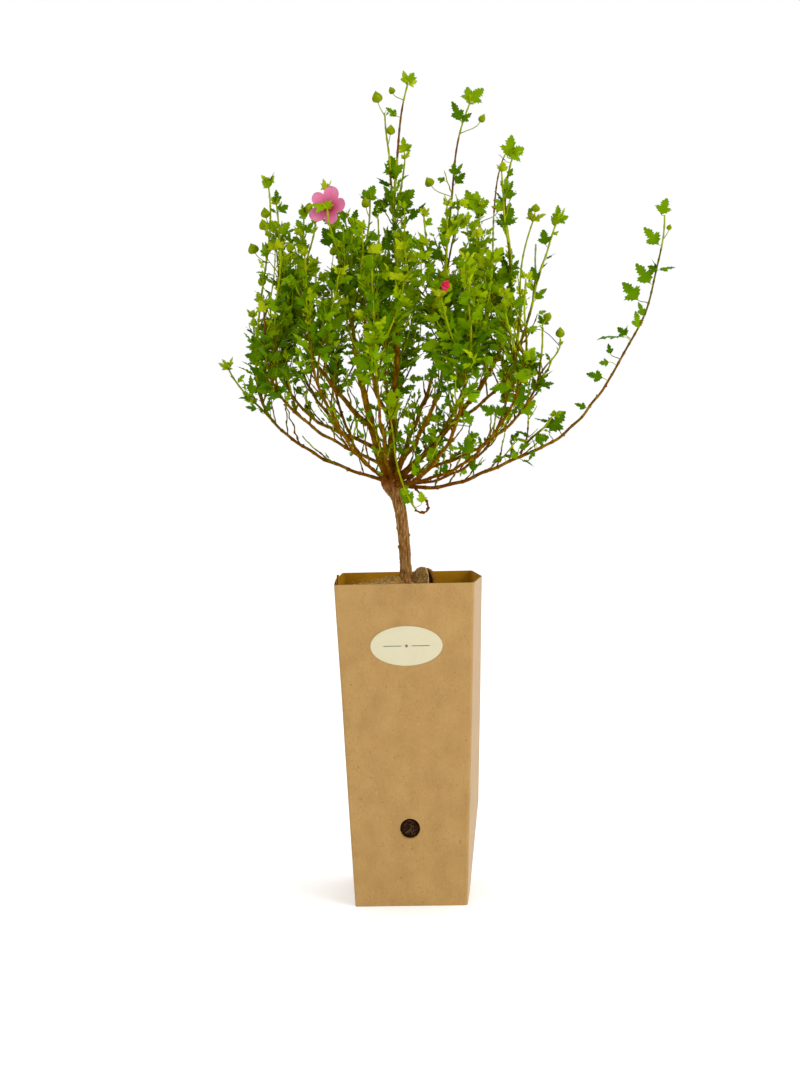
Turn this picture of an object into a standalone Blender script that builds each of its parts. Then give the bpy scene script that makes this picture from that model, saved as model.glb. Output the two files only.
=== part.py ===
"""Potted cape mallow: a young standard shrub on one clean stem, in a tall kraft-board carton.

The carton's panels stand square to X and Y, its flat underside lies on Z = 0, and the front panel faces -Y.
The crown is built as a plant grows: boughs leave the knob at the trunk's head or a larger bough, and each
mass of foliage is one stem on a bough's tip, with shoots, twigs and leaves that branch by a seeded rule.
Tables give millimetres, and everything that is modelled is in metres.
"""

import math
from collections import namedtuple

import bmesh
import bpy
import numpy as np
from mathutils import Matrix, Vector

MM = 0.001
GAP = 0.3 * MM
SEED = 20

# Carton
BOARD = 1.6 * MM
SLEEVE_HEIGHT = 264 * MM
SLEEVE_TOP = 112 * MM
SLEEVE_FOOT = 91.4 * MM
FOLD_RADIUS = 2.4 * MM
SIDE_CREASES = ((0, 2.5, 0.8), (76, 8.4, 2.0), (264, 7.2, 2.0))  # height, bulge of the right and left panels
VENT_RADIUS = 8.1 * MM
VENT_HEIGHT = 64.5 * MM
FLAP_THICKNESS = 1.5 * MM
FLAP_DEPTH = 40 * MM
FLAP_EAR = 4.3 * MM  # the ear's height over the rim
FLAP_EAR_WIDTH = 5 * MM
FLAP_FRONT_INSET = 3 * MM
FLAP_BACK = -2 * MM  # it ends just before the side panel's crease
FLAP_SLOPE = 20 * MM
LABEL_WIDTH = 57.8 * MM
LABEL_HEIGHT = 32.0 * MM
LABEL_CENTRE = 214 * MM
LABEL_THICKNESS = 0.3 * MM

# Root ball and the fibre mat on it
SOIL_LEVEL = 255.0 * MM
SOIL_SIDE_GAP = 0.5 * MM
SOIL_CORNER = 4 * MM
FLAP_ROOM = 12 * MM
MAT_PROFILE = (
    (8.9, 0.3), (7.6, 4.6), (6.2, 9.6), (8.3, 8.7), (14.5, 7.0), (25.6, 5.0), (47.5, 3.2), (48.5, 0.3),
)  # radius and height over the soil, from the trunk's foot over the top to the rim
MAT_TOP_POINT = 2
MAT_SIDES = 20
CURL_AT = (14.8 * MM, 8.0 * MM)
CURL_SPAN = 17.0 * MM
CURL_TOP = 272.4 * MM
CURL_LENGTH = 20.0 * MM
CURL_THICKNESS = 1.8 * MM
CURL_NARROWING = 0.35
CURL_STEPS = 8
CURL_ROWS = 3

# Trunk: height, shift to the right, diameter, from the flat cut up to the middle of its round knob
TRUNK = (
    (255.3, -0.6, 16.4), (259.7, -0.6, 14.4), (265.2, 0.1, 10.2), (275.0, 0.0, 9.2), (289.0, -0.5, 9.3),
    (303.1, -1.3, 9.3), (320.2, -3.2, 9.6), (331.0, -5.5, 10.2), (337.7, -7.9, 14.2), (343.0, -8.8, 17.6),
)
KNOB_RINGS = (28, 54, 76)  # latitudes of the rings on the knob's upper half
TRUNK_BUMPS = ((286, 150), (300.5, 10), (328, 350), (309, 200))  # height and compass angle of dormant buds

TRUNK_BUMP_RADIUS = 1.5 * MM

# Limbs
LIMB_STATIONS = 7
LIMB_PULL = 0.36
LIMB_WOBBLE = 0.010
LIMB_TAPER = 0.8
SAMPLE_STEP = 1.5 * MM
STEM_STATIONS = 5
STEM_FOOT = 2.3 * MM
STEM_TIP = 1.3 * MM

Bough = namedtuple("Bough", "name parent share heading tip rise foot_d tip_d tip_azimuth", defaults=(None,))
Mass = namedtuple("Mass", "name bough leader rise shoots ends leaf_size", defaults=({}, 1.0))

# A heading is a compass angle (0 is +X, 90 is +Y) and a rise over the level, in degrees. Tips are in mm.
BOUGHS = (
    Bough("bough_left_main", "trunk", 1.0, (212, 60), (-26, -14, 396), 76, 7.4, 6.2),
    Bough("bough_left_upright", "bough_left_main", 1.0, None, (-36, -44, 460), 80, 5.4, 3.6),
    Bough("bough_left_high", "bough_left_main", 0.80, (186, 46), (-76, -28, 453), 55, 4.0, 2.8),
    Bough("bough_left_back", "bough_left_main", 0.45, (150, 26), (-88, 38, 409), 45, 3.3, 2.3),
    Bough("bough_left_back_high", "bough_left_back", 0.42, (140, 50), (-90, 64, 446), 60, 2.7, 2.2),
    Bough("bough_left_front", "bough_left_main", 0.16, (214, 22), (-90, -44, 408), 45, 2.6, 2.2),
    Bough("bough_left_low", "trunk", 1.0, (184, 16), (-100, -11, 389), 42, 2.8, 2.3),
    Bough("bough_centre", "trunk", 1.0, (96, 58), (-3, 10, 462), 86, 6.4, 4.2),
    Bough("bough_centre_left", "bough_centre", 0.42, (190, 50), (-28, 4, 468), 80, 3.2, 2.5),
    Bough("bough_centre_back", "bough_centre", 0.34, (100, 46), (-16, 52, 456), 76, 3.0, 2.4),
    Bough("bough_right_upright", "trunk", 1.0, (0, 70), (30, 20, 446), 74, 3.6, 2.7),
    Bough("bough_right_main", "trunk", 1.0, (4, 40), (79, -13, 445), 62, 4.8, 3.4),
    Bough("bough_right_high", "bough_right_main", 0.50, (346, 26), (102, -26, 468), 74, 2.7, 2.2),
    Bough("bough_front_right", "trunk", 1.0, (300, 48), (30, -50, 415), 64, 3.8, 2.8),
    Bough("bough_front", "trunk", 1.0, (262, 30), (-16, -86, 412), 55, 2.8, 2.3),
    Bough("bough_front_left", "trunk", 1.0, (236, 20), (-58, -76, 410), 52, 2.8, 2.3),
    Bough("bough_front_right_low", "trunk", 1.0, (302, -4), (48, -76, 404), 66, 3.7, 2.7),
    Bough("bough_right_front", "trunk", 1.0, (326, 0), (88, -66, 404), 58, 2.6, 2.2),
    Bough("bough_right_low", "trunk", 1.0, (338, 20), (104, -36, 410), 60, 2.6, 2.1),
    Bough("bough_back_right", "trunk", 1.0, (52, 30), (48, 72, 412), 58, 3.0, 2.4),
    Bough("bough_back", "trunk", 1.0, (92, 16), (-8, 92, 404), 52, 2.8, 2.3),
    Bough("bough_back_left", "trunk", 1.0, (134, 20), (-56, 82, 404), 52, 2.8, 2.3),
    Bough("bough_right_back", "trunk", 1.0, (24, -6), (80, 36, 388), 66, 2.4, 2.0),
    Bough("bough_arm_lower", "trunk", 1.0, (353, -14), (106, -5, 366), 20, 3.2, 2.5),
    Bough("bough_arm_upper", "bough_arm_lower", 1.0, None, (173, -7, 429), 58, 2.4, 1.9),
    Bough("bough_droop", "bough_arm_lower", 0.13, (334, -48), (10, -15, 321), 58, 1.9, 1.7, 200),
)

# A mass stands on its bough's tip: its leader's tip and end rise, its shoots (share of the leader where each
# leaves, tip), what stands on some ends (0 is the leader, 1 the first shoot), and the size of its leaves.
MASSES = (
    Mass("foliage_left_low", "bough_left_low", (-105, -8, 588), 89,
         ((0.03, (-140, -19, 438)), (0.10, (-121, -4, 480))), {}, 0.9),
    Mass("foliage_left_front", "bough_left_front", (-106, -62, 492), 84, ((0.12, (-90, -72, 528)),)),
    Mass("foliage_left_back", "bough_left_back", (-112, 40, 505), 86, ((0.15, (-92, 30, 530)),)),
    Mass("foliage_left_back_high", "bough_left_back_high", (-81, 45, 570), 88, ((0.10, (-102, 80, 530)),)),
    Mass("foliage_left_high", "bough_left_high", (-96, -35, 567), 84, ((0.15, (-66, -24, 554)),)),
    Mass("foliage_flower", "bough_left_upright", (-52, -56, 559), 84,
         ((0.30, (-54, -42, 576)), (0.20, (-34, -68, 546))), {0: "flower"}),
    Mass("foliage_centre_left", "bough_centre_left", (-22, -15, 572), 80, ((0.30, (-44, 8, 560)),)),
    Mass("foliage_crown", "bough_centre", (10, -10, 664), 58,
         ((0.42, (6, 25, 610)), (0.50, (-9, 2, 642))), {2: "bud"}),
    Mass("foliage_centre_back", "bough_centre_back", (-19, 70, 568), 86, ((0.20, (4, 58, 556)),)),
    Mass("foliage_right_upright", "bough_right_upright", (60, 10, 651), 66,
         ((0.30, (50, 36, 572)), (0.78, (70, 14, 634))), {2: "bud"}),
    Mass("foliage_right_main", "bough_right_main", (94, -25, 604), 66,
         ((0.30, (84, -38, 588)), (0.12, (62, -30, 545)))),
    Mass("foliage_right_high", "bough_right_high", (128, -15, 550), 66, ((0.20, (112, -4, 535)),)),
    Mass("foliage_front_right", "bough_front_right", (22, -72, 550), 86,
         ((0.20, (40, -56, 560)), (0.35, (36, -78, 502))), {2: "bud"}),
    Mass("foliage_front", "bough_front", (-18, -98, 520), 88, ((0.12, (6, -102, 498)),)),
    Mass("foliage_front_left", "bough_front_left", (-70, -88, 520), 86, ((0.12, (-44, -94, 505)),)),
    Mass("foliage_front_right_low", "bough_front_right_low", (56, -94, 512), 86,
         ((0.15, (34, -100, 486)),)),
    Mass("foliage_right_front", "bough_right_front", (100, -72, 500), 84, ((0.12, (82, -88, 486)),)),
    Mass("foliage_right_low", "bough_right_low", (114, -46, 464), 84,
         ((0.30, (128, -40, 450)), (0.10, (120, -62, 440))), {1: "bud"}, 0.85),
    Mass("foliage_back_right", "bough_back_right", (69, 65, 574), 84,
         ((0.06, (72, 94, 515)), (0.12, (38, 90, 530)))),
    Mass("foliage_back", "bough_back", (-12, 100, 525), 88, ((0.12, (12, 104, 502)),)),
    Mass("foliage_back_left", "bough_back_left", (-62, 94, 528), 86, ((0.12, (-84, 88, 500)),)),
    Mass("foliage_right_back", "bough_right_back", (112, 38, 558), 70, ((0.12, (104, 62, 498)),), {0: "bud"}),
    Mass("foliage_arm_spur", "bough_arm_lower", (122, -12, 394), 60, (), {}, 0.8),
    Mass("foliage_arm", "bough_arm_upper", (216, -10, 555), 88, (), {}, 0.8),
    Mass("foliage_shoot", "bough_droop", (-10, -34, 402), 74, (), {}, 0.7),
)
SIDE_FEET = {"foliage_arm_spur": (0.90, (30, 66))}  # this mass leaves its bough's side, near the tip

# Growth rule
DIVERGENCE = math.radians(137.5)
LEAF_SPACING = 18.0 * MM
SPACING_SPREAD = (0.8, 1.2)
FIRST_LEAF = 8.0 * MM
STEM_END = 0.985  # no leaf stands beyond this share of a stem
LEAF_ROOM = 3.0 * MM
LEAF_TRIES = 5
LEAF_LIFT = (0.2, 1.1)  # how far a leaf leans towards its stem's tip
LEAF_ROLL = 1.2
LEAF_LENGTHS = (25 * MM, 33 * MM)
LEAF_WIDTH_SHARE = 0.74
LEAF_BROADEST = 0.48
LEAF_THICKNESS = 0.9 * MM
LEAF_DROOP = 0.10
END_LEAF_SHARE = 0.62  # leaves at a stem's end against those at its foot
TWIG_EVERY = 4
TWIG_LAST = 0.8
TWIG_LENGTHS = (22 * MM, 36 * MM)
TWIG_SHORTENING = (1.15, 0.6)  # share of its length at the stem's foot, and what it loses towards the tip
TWIG_DIAMETER = 1.3 * MM
TWIG_TAPER = 0.72
TWIG_LEAVES = 3
TWIG_LEAF_SIZES = (0.92, 0.80, 0.68)
TUFT_SIZES = (0.55, 0.55, 0.55)
OWN_SPACE_MARGIN = 0.9 * MM
LIMB_CLEARANCE = 0.9 * MM
FAR_FROM_LIMB = 10 * MM

FLOWER_RADIUS = 15.0 * MM
FLOWER_FACING = (262, 18)
FLOWER_CUP = 0.25
PETAL_COUNT = 5
PETAL_THICKNESS = 1.6 * MM
BUD_LENGTH = 9.0 * MM
BUD_WIDTH = 6.6 * MM

# Colour, roughness
FINISHES = {
    "kraft_board": ((0.48, 0.29, 0.11), 0.85),
    "paper_label": ((0.75, 0.70, 0.47), 0.6),
    "potting_soil": ((0.035, 0.018, 0.010), 0.95),
    "coir_mat": ((0.40, 0.26, 0.11), 0.95),
    "bark": ((0.17, 0.09, 0.045), 0.85),
    "leaf_green": ((0.10, 0.26, 0.015), 0.55),
}


# ---------------------------------------------------------------- scene and small helpers

def clear_scene():
    for obj in list(bpy.data.objects):
        bpy.data.objects.remove(obj, do_unlink=True)


def finish(name):
    material = bpy.data.materials.get(name)
    if material is None:
        colour, roughness = FINISHES[name]
        material = bpy.data.materials.new(name)
        material.use_nodes = True
        shader = material.node_tree.nodes["Principled BSDF"]
        shader.inputs["Base Color"].default_value = (*colour, 1.0)
        shader.inputs["Roughness"].default_value = roughness
        shader.inputs["Metallic"].default_value = 0.0
        material.diffuse_color = (*colour, 1.0)
    return material


def collection(name):
    found = bpy.data.collections.get(name)
    if found is None:
        found = bpy.data.collections.new(name)
        bpy.context.scene.collection.children.link(found)
    return found


def add_object(name, data, material, group="potted_cape_mallow"):
    obj = bpy.data.objects.new(name, data)
    data.materials.append(finish(material))
    collection(group).objects.link(obj)
    return obj


def mesh_from(name, bm):
    bmesh.ops.recalc_face_normals(bm, faces=bm.faces)
    mesh = bpy.data.meshes.new(name)
    bm.to_mesh(mesh)
    bm.free()
    return mesh


def cutter(obj):
    obj.hide_render = True
    obj.display_type = "WIRE"
    return obj


def direction(azimuth, rise):
    a = math.radians(azimuth)
    e = math.radians(rise)
    return np.array((math.cos(e) * math.cos(a), math.cos(e) * math.sin(a), math.sin(e)))


def unit(vector):
    return vector / np.linalg.norm(vector)


def panel_half_width(z):
    """Half the carton's outer width at a height."""
    return (SLEEVE_FOOT + (SLEEVE_TOP - SLEEVE_FOOT) * z / SLEEVE_HEIGHT) / 2


# ---------------------------------------------------------------- carton

def sleeve_section(bm, height, right, left):
    """One ring of the carton's outer faces: four corners, and the crease half way along each side panel."""
    half = panel_half_width(height)
    right_side = ((half, -half), (half + right, 0), (half, half))
    left_side = ((-half, half), (-half - left, 0), (-half, -half))
    ring = right_side + left_side
    return [bm.verts.new((x, y, height)) for x, y in ring]


def make_sleeve():
    bm = bmesh.new()
    rings = [sleeve_section(bm, h * MM, right * MM, left * MM) for h, right, left in SIDE_CREASES]
    corner_edges = []
    for low, high in zip(rings, rings[1:]):
        for i in range(len(low)):
            j = (i + 1) % len(low)
            bm.faces.new((low[i], low[j], high[j], high[i]))
        corner_edges += [bm.edges.get((low[i], high[i])) for i in (0, 2, 3, 5)]
    bm.faces.new(reversed(rings[0]))
    bmesh.ops.bevel(bm, geom=corner_edges, offset=FOLD_RADIUS, segments=2, profile=0.5, affect="EDGES")
    sleeve = add_object("carton_sleeve", mesh_from("carton_sleeve", bm), "kraft_board")
    wall = sleeve.modifiers.new("board", "SOLIDIFY")
    wall.thickness = BOARD
    wall.offset = -1
    wall.use_even_offset = True
    cut = sleeve.modifiers.new("vent", "BOOLEAN")
    cut.operation = "DIFFERENCE"
    cut.object = make_vent_cutter()
    return sleeve


def make_vent_cutter():
    bm = bmesh.new()
    bmesh.ops.create_cone(
        bm, cap_ends=True, segments=32, radius1=VENT_RADIUS, radius2=VENT_RADIUS, depth=8 * BOARD
    )
    vent = add_object("vent_cutter", mesh_from("vent_cutter", bm), "kraft_board", "cutters")
    vent.location = (0, -panel_half_width(VENT_HEIGHT), VENT_HEIGHT)
    vent.rotation_euler = (math.radians(90), 0, 0)
    return cutter(vent)


def make_seam_flap():
    """The glued flap inside the left panel, whose free corner stands over the rim as a small ear."""
    half = panel_half_width(SLEEVE_HEIGHT)
    front = -half + FOLD_RADIUS + FLAP_FRONT_INSET
    bottom = SLEEVE_HEIGHT - FLAP_DEPTH
    below_rim = SLEEVE_HEIGHT - BOARD / 2
    outline = (
        (front, bottom),
        (FLAP_BACK, bottom),
        (FLAP_BACK, SLEEVE_HEIGHT + FLAP_EAR),
        (FLAP_BACK - FLAP_EAR_WIDTH, SLEEVE_HEIGHT + 0.8 * FLAP_EAR),
        (front + FLAP_SLOPE, below_rim),
        (front, below_rim),
    )
    crease = SIDE_CREASES[-1][2] * MM
    leaning_board = BOARD * 1.06
    bm = bmesh.new()
    corners = []
    for y, z in outline:
        share = 1 + y / half
        outer = panel_half_width(z) + crease * share - leaning_board - GAP
        corners.append(bm.verts.new((-outer, y, z)))
    bm.faces.new(corners)
    flap = add_object("seam_flap", mesh_from("seam_flap", bm), "kraft_board")
    facing_left = flap.data.polygons[0].normal.x < 0
    wall = flap.modifiers.new("board", "SOLIDIFY")
    wall.thickness = FLAP_THICKNESS
    wall.offset = -1 if facing_left else 1
    return flap


def make_label():
    """An oval of paper, parallel to the leaning front panel."""
    curve = bpy.data.curves.new("label", "CURVE")
    curve.dimensions = "2D"
    curve.fill_mode = "BOTH"
    curve.extrude = LABEL_THICKNESS / 2
    curve.resolution_u = 10
    spline = curve.splines.new("BEZIER")
    spline.bezier_points.add(3)
    spline.use_cyclic_u = True
    round_handle = 0.5523
    for point, angle in zip(spline.bezier_points, (0, 90, 180, 270)):
        c, s = math.cos(math.radians(angle)), math.sin(math.radians(angle))
        co = Vector((c * LABEL_WIDTH / 2, s * LABEL_HEIGHT / 2, 0))
        along = Vector((-s * LABEL_WIDTH / 2, c * LABEL_HEIGHT / 2, 0)) * round_handle
        point.co = co
        point.handle_left = co - along
        point.handle_right = co + along
    label = add_object("label", curve, "paper_label")
    lean = math.atan2((SLEEVE_TOP - SLEEVE_FOOT) / 2, SLEEVE_HEIGHT)
    stand_off = GAP + LABEL_THICKNESS / 2
    label.location = (0.8 * MM, -panel_half_width(LABEL_CENTRE) - stand_off / math.cos(lean), LABEL_CENTRE)
    label.rotation_euler = (math.radians(90) + lean, 0, 0)
    return label


def make_root_ball():
    """The block of soil and roots that fills the carton from its floor up to the mat."""
    bm = bmesh.new()
    foot = BOARD + GAP
    bmesh.ops.create_cube(bm, size=1.0)
    for vertex in bm.verts:
        z = SOIL_LEVEL if vertex.co.z > 0 else foot
        half = panel_half_width(z) - BOARD - SOIL_SIDE_GAP
        vertex.co = (math.copysign(half, vertex.co.x), math.copysign(half, vertex.co.y), z)
    columns = [edge for edge in bm.edges if edge.verts[0].co.z != edge.verts[1].co.z]
    bmesh.ops.bevel(bm, geom=columns, offset=SOIL_CORNER, segments=2, profile=0.5, affect="EDGES")
    ball = add_object("root_ball", mesh_from("root_ball", bm), "potting_soil")
    notch = ball.modifiers.new("flap_room", "BOOLEAN")
    notch.operation = "DIFFERENCE"
    notch.object = make_flap_room()
    return ball


def make_flap_room():
    """Room in the root ball's upper left edge for the seam flap."""
    bm = bmesh.new()
    bmesh.ops.create_cube(bm, size=1.0)
    room = add_object("flap_room", mesh_from("flap_room", bm), "potting_soil", "cutters")
    room.scale = (FLAP_ROOM, SLEEVE_TOP, FLAP_DEPTH + 2 * MM)
    room.location = (-panel_half_width(SLEEVE_HEIGHT), 0, SLEEVE_HEIGHT - FLAP_DEPTH / 2)
    return cutter(room)


def make_mat():
    """A round fibre mat, turned from its profile, that climbs a little round the trunk's foot."""
    bm = bmesh.new()
    profile = [bm.verts.new((r * MM, 0, SOIL_LEVEL + GAP + z * MM)) for r, z in MAT_PROFILE]
    for i in range(len(profile)):
        bm.edges.new((profile[i], profile[(i + 1) % len(profile)]))
    mesh = bpy.data.meshes.new("fibre_mat")
    bm.to_mesh(mesh)
    bm.free()
    mat = add_object("fibre_mat", mesh, "coir_mat")
    mat.location = (TRUNK[0][1] * MM, 0, 0)
    turned = mat.modifiers.new("turned", "SCREW")
    turned.steps = MAT_SIDES
    turned.render_steps = MAT_SIDES
    turned.use_merge_vertices = True
    turned.merge_threshold = 0.00005
    return mat


def mat_top(radius):
    """The height of the mat's upper face at a distance from its middle."""
    upper = MAT_PROFILE[MAT_TOP_POINT:]
    rise = np.interp(radius / MM, [r for r, _ in upper], [z for _, z in upper])
    return SOIL_LEVEL + GAP + rise * MM


def make_mat_curl():
    """The mat's slit flap, curled up beside the trunk: an arch of sheet that narrows to the back."""
    bm = bmesh.new()
    grid = []
    for row in range(CURL_ROWS + 1):
        back = row / CURL_ROWS
        narrow = 1 - CURL_NARROWING * back
        y = CURL_AT[1] + (back - 0.5) * CURL_LENGTH
        line = []
        for step in range(CURL_STEPS + 1):
            angle = math.pi * step / CURL_STEPS
            x = CURL_AT[0] - math.cos(angle) * CURL_SPAN / 2 * narrow
            foot = mat_top(math.hypot(x, y)) + 3 * GAP
            z = foot + math.sin(angle) * (CURL_TOP - foot) * narrow
            line.append(bm.verts.new((x, y, z)))
        grid.append(line)
    for near, far in zip(grid, grid[1:]):
        for i in range(CURL_STEPS):
            bm.faces.new((near[i], near[i + 1], far[i + 1], far[i]))
    mesh = bpy.data.meshes.new("mat_curl")
    bm.to_mesh(mesh)
    bm.free()
    curl = add_object("mat_curl", mesh, "coir_mat")
    sheet = curl.modifiers.new("sheet", "SOLIDIFY")
    sheet.thickness = CURL_THICKNESS
    sheet.offset = -1
    return curl


# ---------------------------------------------------------------- limbs

class Limb:
    """A tapering stem: its centre line, its radius at each point, and closer samples for clearances."""

    def __init__(self, points, radii):
        self.points = points
        self.radii = radii
        steps = np.linalg.norm(np.diff(points, axis=0), axis=1)
        self.lengths = np.concatenate([[0], np.cumsum(steps)])
        count = max(8, int(self.lengths[-1] / SAMPLE_STEP))
        along = np.linspace(0, self.lengths[-1], count)
        self.samples = np.stack([np.interp(along, self.lengths, points[:, k]) for k in range(3)], axis=1)
        self.sample_radii = np.interp(along, self.lengths, radii)

    def at(self, share):
        """Place, heading and radius at a share of the length."""
        here = share * self.lengths[-1]
        place = np.array([np.interp(here, self.lengths, self.points[:, k]) for k in range(3)])
        index = min(np.searchsorted(self.lengths, here, side="right"), len(self.points) - 1)
        heading = unit(self.points[index] - self.points[index - 1])
        return place, heading, float(np.interp(here, self.lengths, self.radii))

    def clearance(self, places):
        """The least distance from any of these places to the limb's surface."""
        away = np.linalg.norm(places[:, None, :] - self.samples[None, :, :], axis=2)
        return float((away - self.sample_radii[None, :]).min())


def grown_line(start, heading, tip, tip_heading, stations):
    """A cubic curve from start along one heading to the tip along another, with the slight sway of wood."""
    reach = np.linalg.norm(tip - start)
    out = start + heading * reach * LIMB_PULL
    back = tip - tip_heading * reach * LIMB_PULL
    t = np.linspace(0, 1, stations)[:, None]
    line = (1 - t) ** 3 * start + 3 * (1 - t) ** 2 * t * out + 3 * (1 - t) * t**2 * back + t**3 * tip
    side = unit(np.cross(tip - start, (0.3, 0.2, 1.0)))
    phase = 1000 * abs(tip[0] + 2 * tip[1])
    sway = np.sin(math.pi * t) * np.sin(3 * math.pi * t + phase)
    return line + side * sway * reach * LIMB_WOBBLE


def foot_ring(place, heading, radius):
    """Places round a flat foot, and its centre."""
    across = unit(np.cross(heading, (0.31, 0.17, 0.93)))
    other = np.cross(heading, across)
    angles = np.linspace(0, 2 * math.pi, 12, endpoint=False)
    ring = [place + radius * (math.cos(a) * across + math.sin(a) * other) for a in angles]
    return np.array([place, *ring])


def seated_foot(parent, place, heading, radius):
    """Slides a foot out along its heading until it just clears the limb that carries it."""
    slide = 0.0
    while parent.clearance(foot_ring(place + heading * slide, heading, radius)) < GAP:
        slide += 0.1 * MM
    return place + heading * slide


def trunk_limb():
    """The trunk up to the middle of its knob, whose upper half is the ball round the last point."""
    points = np.array([(x, 0.0, z) for z, x, _ in TRUNK]) * MM
    radii = np.array([d / 2 for _, _, d in TRUNK]) * MM
    return Limb(points, radii)


def limb_from(foot, along, tip, rise, foot_d, tip_d, stations, tip_azimuth=None):
    """A tapering limb from foot to tip, with the rise it ends at, heading away from its foot by default."""
    tip = np.array(tip) * MM
    if tip_azimuth is None:
        tip_azimuth = math.degrees(math.atan2(tip[1] - foot[1], tip[0] - foot[0]))
    line = grown_line(foot, along, tip, direction(tip_azimuth, rise), stations)
    radii = np.array((foot_d, tip_d)) * MM / 2
    taper = np.linspace(0, 1, stations) ** LIMB_TAPER
    return Limb(line, radii[0] + (radii[1] - radii[0]) * taper)


def foot_on(parent, share, heading, foot_d):
    """Where a limb stands on its parent, just clear of it: on its tip, or on its side along a heading."""
    place, along, _ = parent.at(share)
    if heading is None:
        return place + along * GAP, along
    along = direction(*heading)
    return seated_foot(parent, place, along, foot_d * MM / 2), along


def grow_boughs():
    """Every bough by name, each from the trunk's knob or from a bough grown before it."""
    trunk = trunk_limb()
    limbs = {"trunk": trunk}
    for bough in BOUGHS:
        if bough.parent == "trunk":
            along = direction(*bough.heading)
            foot = seated_foot(trunk, trunk.points[-1], along, bough.foot_d * MM / 2)
        else:
            foot, along = foot_on(limbs[bough.parent], bough.share, bough.heading, bough.foot_d)
        limbs[bough.name] = limb_from(
            foot, along, bough.tip, bough.rise, bough.foot_d, bough.tip_d, LIMB_STATIONS, bough.tip_azimuth
        )
    return limbs


def tube_curve(name, limb, sides_level, triangle=None):
    """A curve along the limb with its radius at each point and filled caps, round or of a given section."""
    curve = bpy.data.curves.new(name, "CURVE")
    curve.dimensions = "3D"
    curve.use_fill_caps = True
    spline = curve.splines.new("POLY")
    spline.points.add(len(limb.points) - 1)
    for point, place, radius in zip(spline.points, limb.points, limb.radii):
        point.co = (*place, 1.0)
        point.radius = radius / MM
    if triangle is None:
        curve.bevel_depth = MM
        curve.bevel_resolution = sides_level
    else:
        curve.bevel_mode = "OBJECT"
        curve.bevel_object = triangle
    return curve


def make_trunk(trunk):
    """The trunk with its flare, its round knob and the small dormant buds on the bark."""
    middle = trunk.points[-1]
    radius = trunk.radii[-1]
    rings = np.radians(KNOB_RINGS)
    dome = [middle + (0, 0, radius * math.sin(ring)) for ring in rings]
    whole = Limb(np.vstack([trunk.points, dome]), np.append(trunk.radii, radius * np.cos(rings)))
    body = as_mesh("trunk", tube_curve("trunk", whole, 4), "bark")
    buds = []
    for height, azimuth in TRUNK_BUMPS:
        heights = trunk.points[:, 2]
        centre = np.array([np.interp(height * MM, heights, trunk.points[:, k]) for k in range(3)])
        radius = float(np.interp(height * MM, heights, trunk.radii))
        bm = bmesh.new()
        bmesh.ops.create_uvsphere(bm, u_segments=6, v_segments=4, radius=TRUNK_BUMP_RADIUS)
        bud = add_object("trunk_bud", mesh_from("trunk_bud", bm), "bark", "growing")
        bud.location = centre + direction(azimuth, 0) * radius * 0.96
        bud.scale = (0.8, 0.8, 1.5)
        buds.append(bud)
    return union(body, buds)


# ---------------------------------------------------------------- joining

def as_mesh(name, curve, material, group="potted_cape_mallow"):
    """The curve as a welded mesh object of the same name."""
    source = add_object(name + "_curve", curve, material, "growing")
    bpy.context.view_layer.update()
    graph = bpy.context.evaluated_depsgraph_get()
    mesh = bpy.data.meshes.new_from_object(source.evaluated_get(graph))
    mesh.name = name
    matrix = source.matrix_world.copy()
    bpy.data.objects.remove(source, do_unlink=True)
    bm = bmesh.new()
    bm.from_mesh(mesh)
    bmesh.ops.remove_doubles(bm, verts=bm.verts, dist=0.00001)
    bmesh.ops.recalc_face_normals(bm, faces=bm.faces)
    bm.to_mesh(mesh)
    bm.free()
    mesh.materials.clear()
    obj = add_object(name, mesh, material, group)
    obj.matrix_world = matrix
    return obj


def union(body, pieces, solver="MANIFOLD"):
    """Joins the pieces to the body with one Boolean on their collection, applies it and removes them."""
    gathered = bpy.data.collections.new(body.name + "_pieces")
    bpy.context.scene.collection.children.link(gathered)
    for piece in pieces:
        for holder in list(piece.users_collection):
            holder.objects.unlink(piece)
        gathered.objects.link(piece)
    join = body.modifiers.new("join", "BOOLEAN")
    join.operation = "UNION"
    join.operand_type = "COLLECTION"
    join.collection = gathered
    join.solver = solver
    bpy.context.view_layer.update()
    graph = bpy.context.evaluated_depsgraph_get()
    joined = bpy.data.meshes.new_from_object(body.evaluated_get(graph))
    joined.name = body.name
    body.modifiers.clear()
    body.data = joined
    for piece in pieces:
        bpy.data.objects.remove(piece, do_unlink=True)
    bpy.data.collections.remove(gathered)
    return body


# ---------------------------------------------------------------- masses of foliage

class Space:
    """The room that each mass keeps to: what lies nearer to its own stems than to any other mass's."""

    def __init__(self, boughs, stems):
        self.boughs = boughs
        self.stems = stems
        self.samples = np.concatenate([s.samples for group in stems.values() for s in group])
        self.radii = np.concatenate([s.sample_radii for group in stems.values() for s in group])
        counts = [sum(len(s.samples) for s in group) for group in stems.values()]
        self.owner = np.repeat(np.arange(len(stems)), counts)

    def holds(self, places, mass_index):
        """True where all the places lie in this mass's own room and clear of every bough."""
        near = places.mean(axis=0)
        reach = np.linalg.norm(places - near, axis=1).max()
        for limb in self.boughs.values():
            low = limb.samples.min(axis=0) - reach - FAR_FROM_LIMB
            high = limb.samples.max(axis=0) + reach + FAR_FROM_LIMB
            if (near < low).any() or (near > high).any():
                continue
            if limb.clearance(places) < LIMB_CLEARANCE:
                return False
        away = np.linalg.norm(places[:, None, :] - self.samples[None, :, :], axis=2) - self.radii
        own = self.owner == mass_index
        nearest_own = away[:, own].min(axis=1)
        nearest_other = away[:, ~own].min(axis=1)
        return bool((nearest_other > nearest_own + OWN_SPACE_MARGIN).all())


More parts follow.
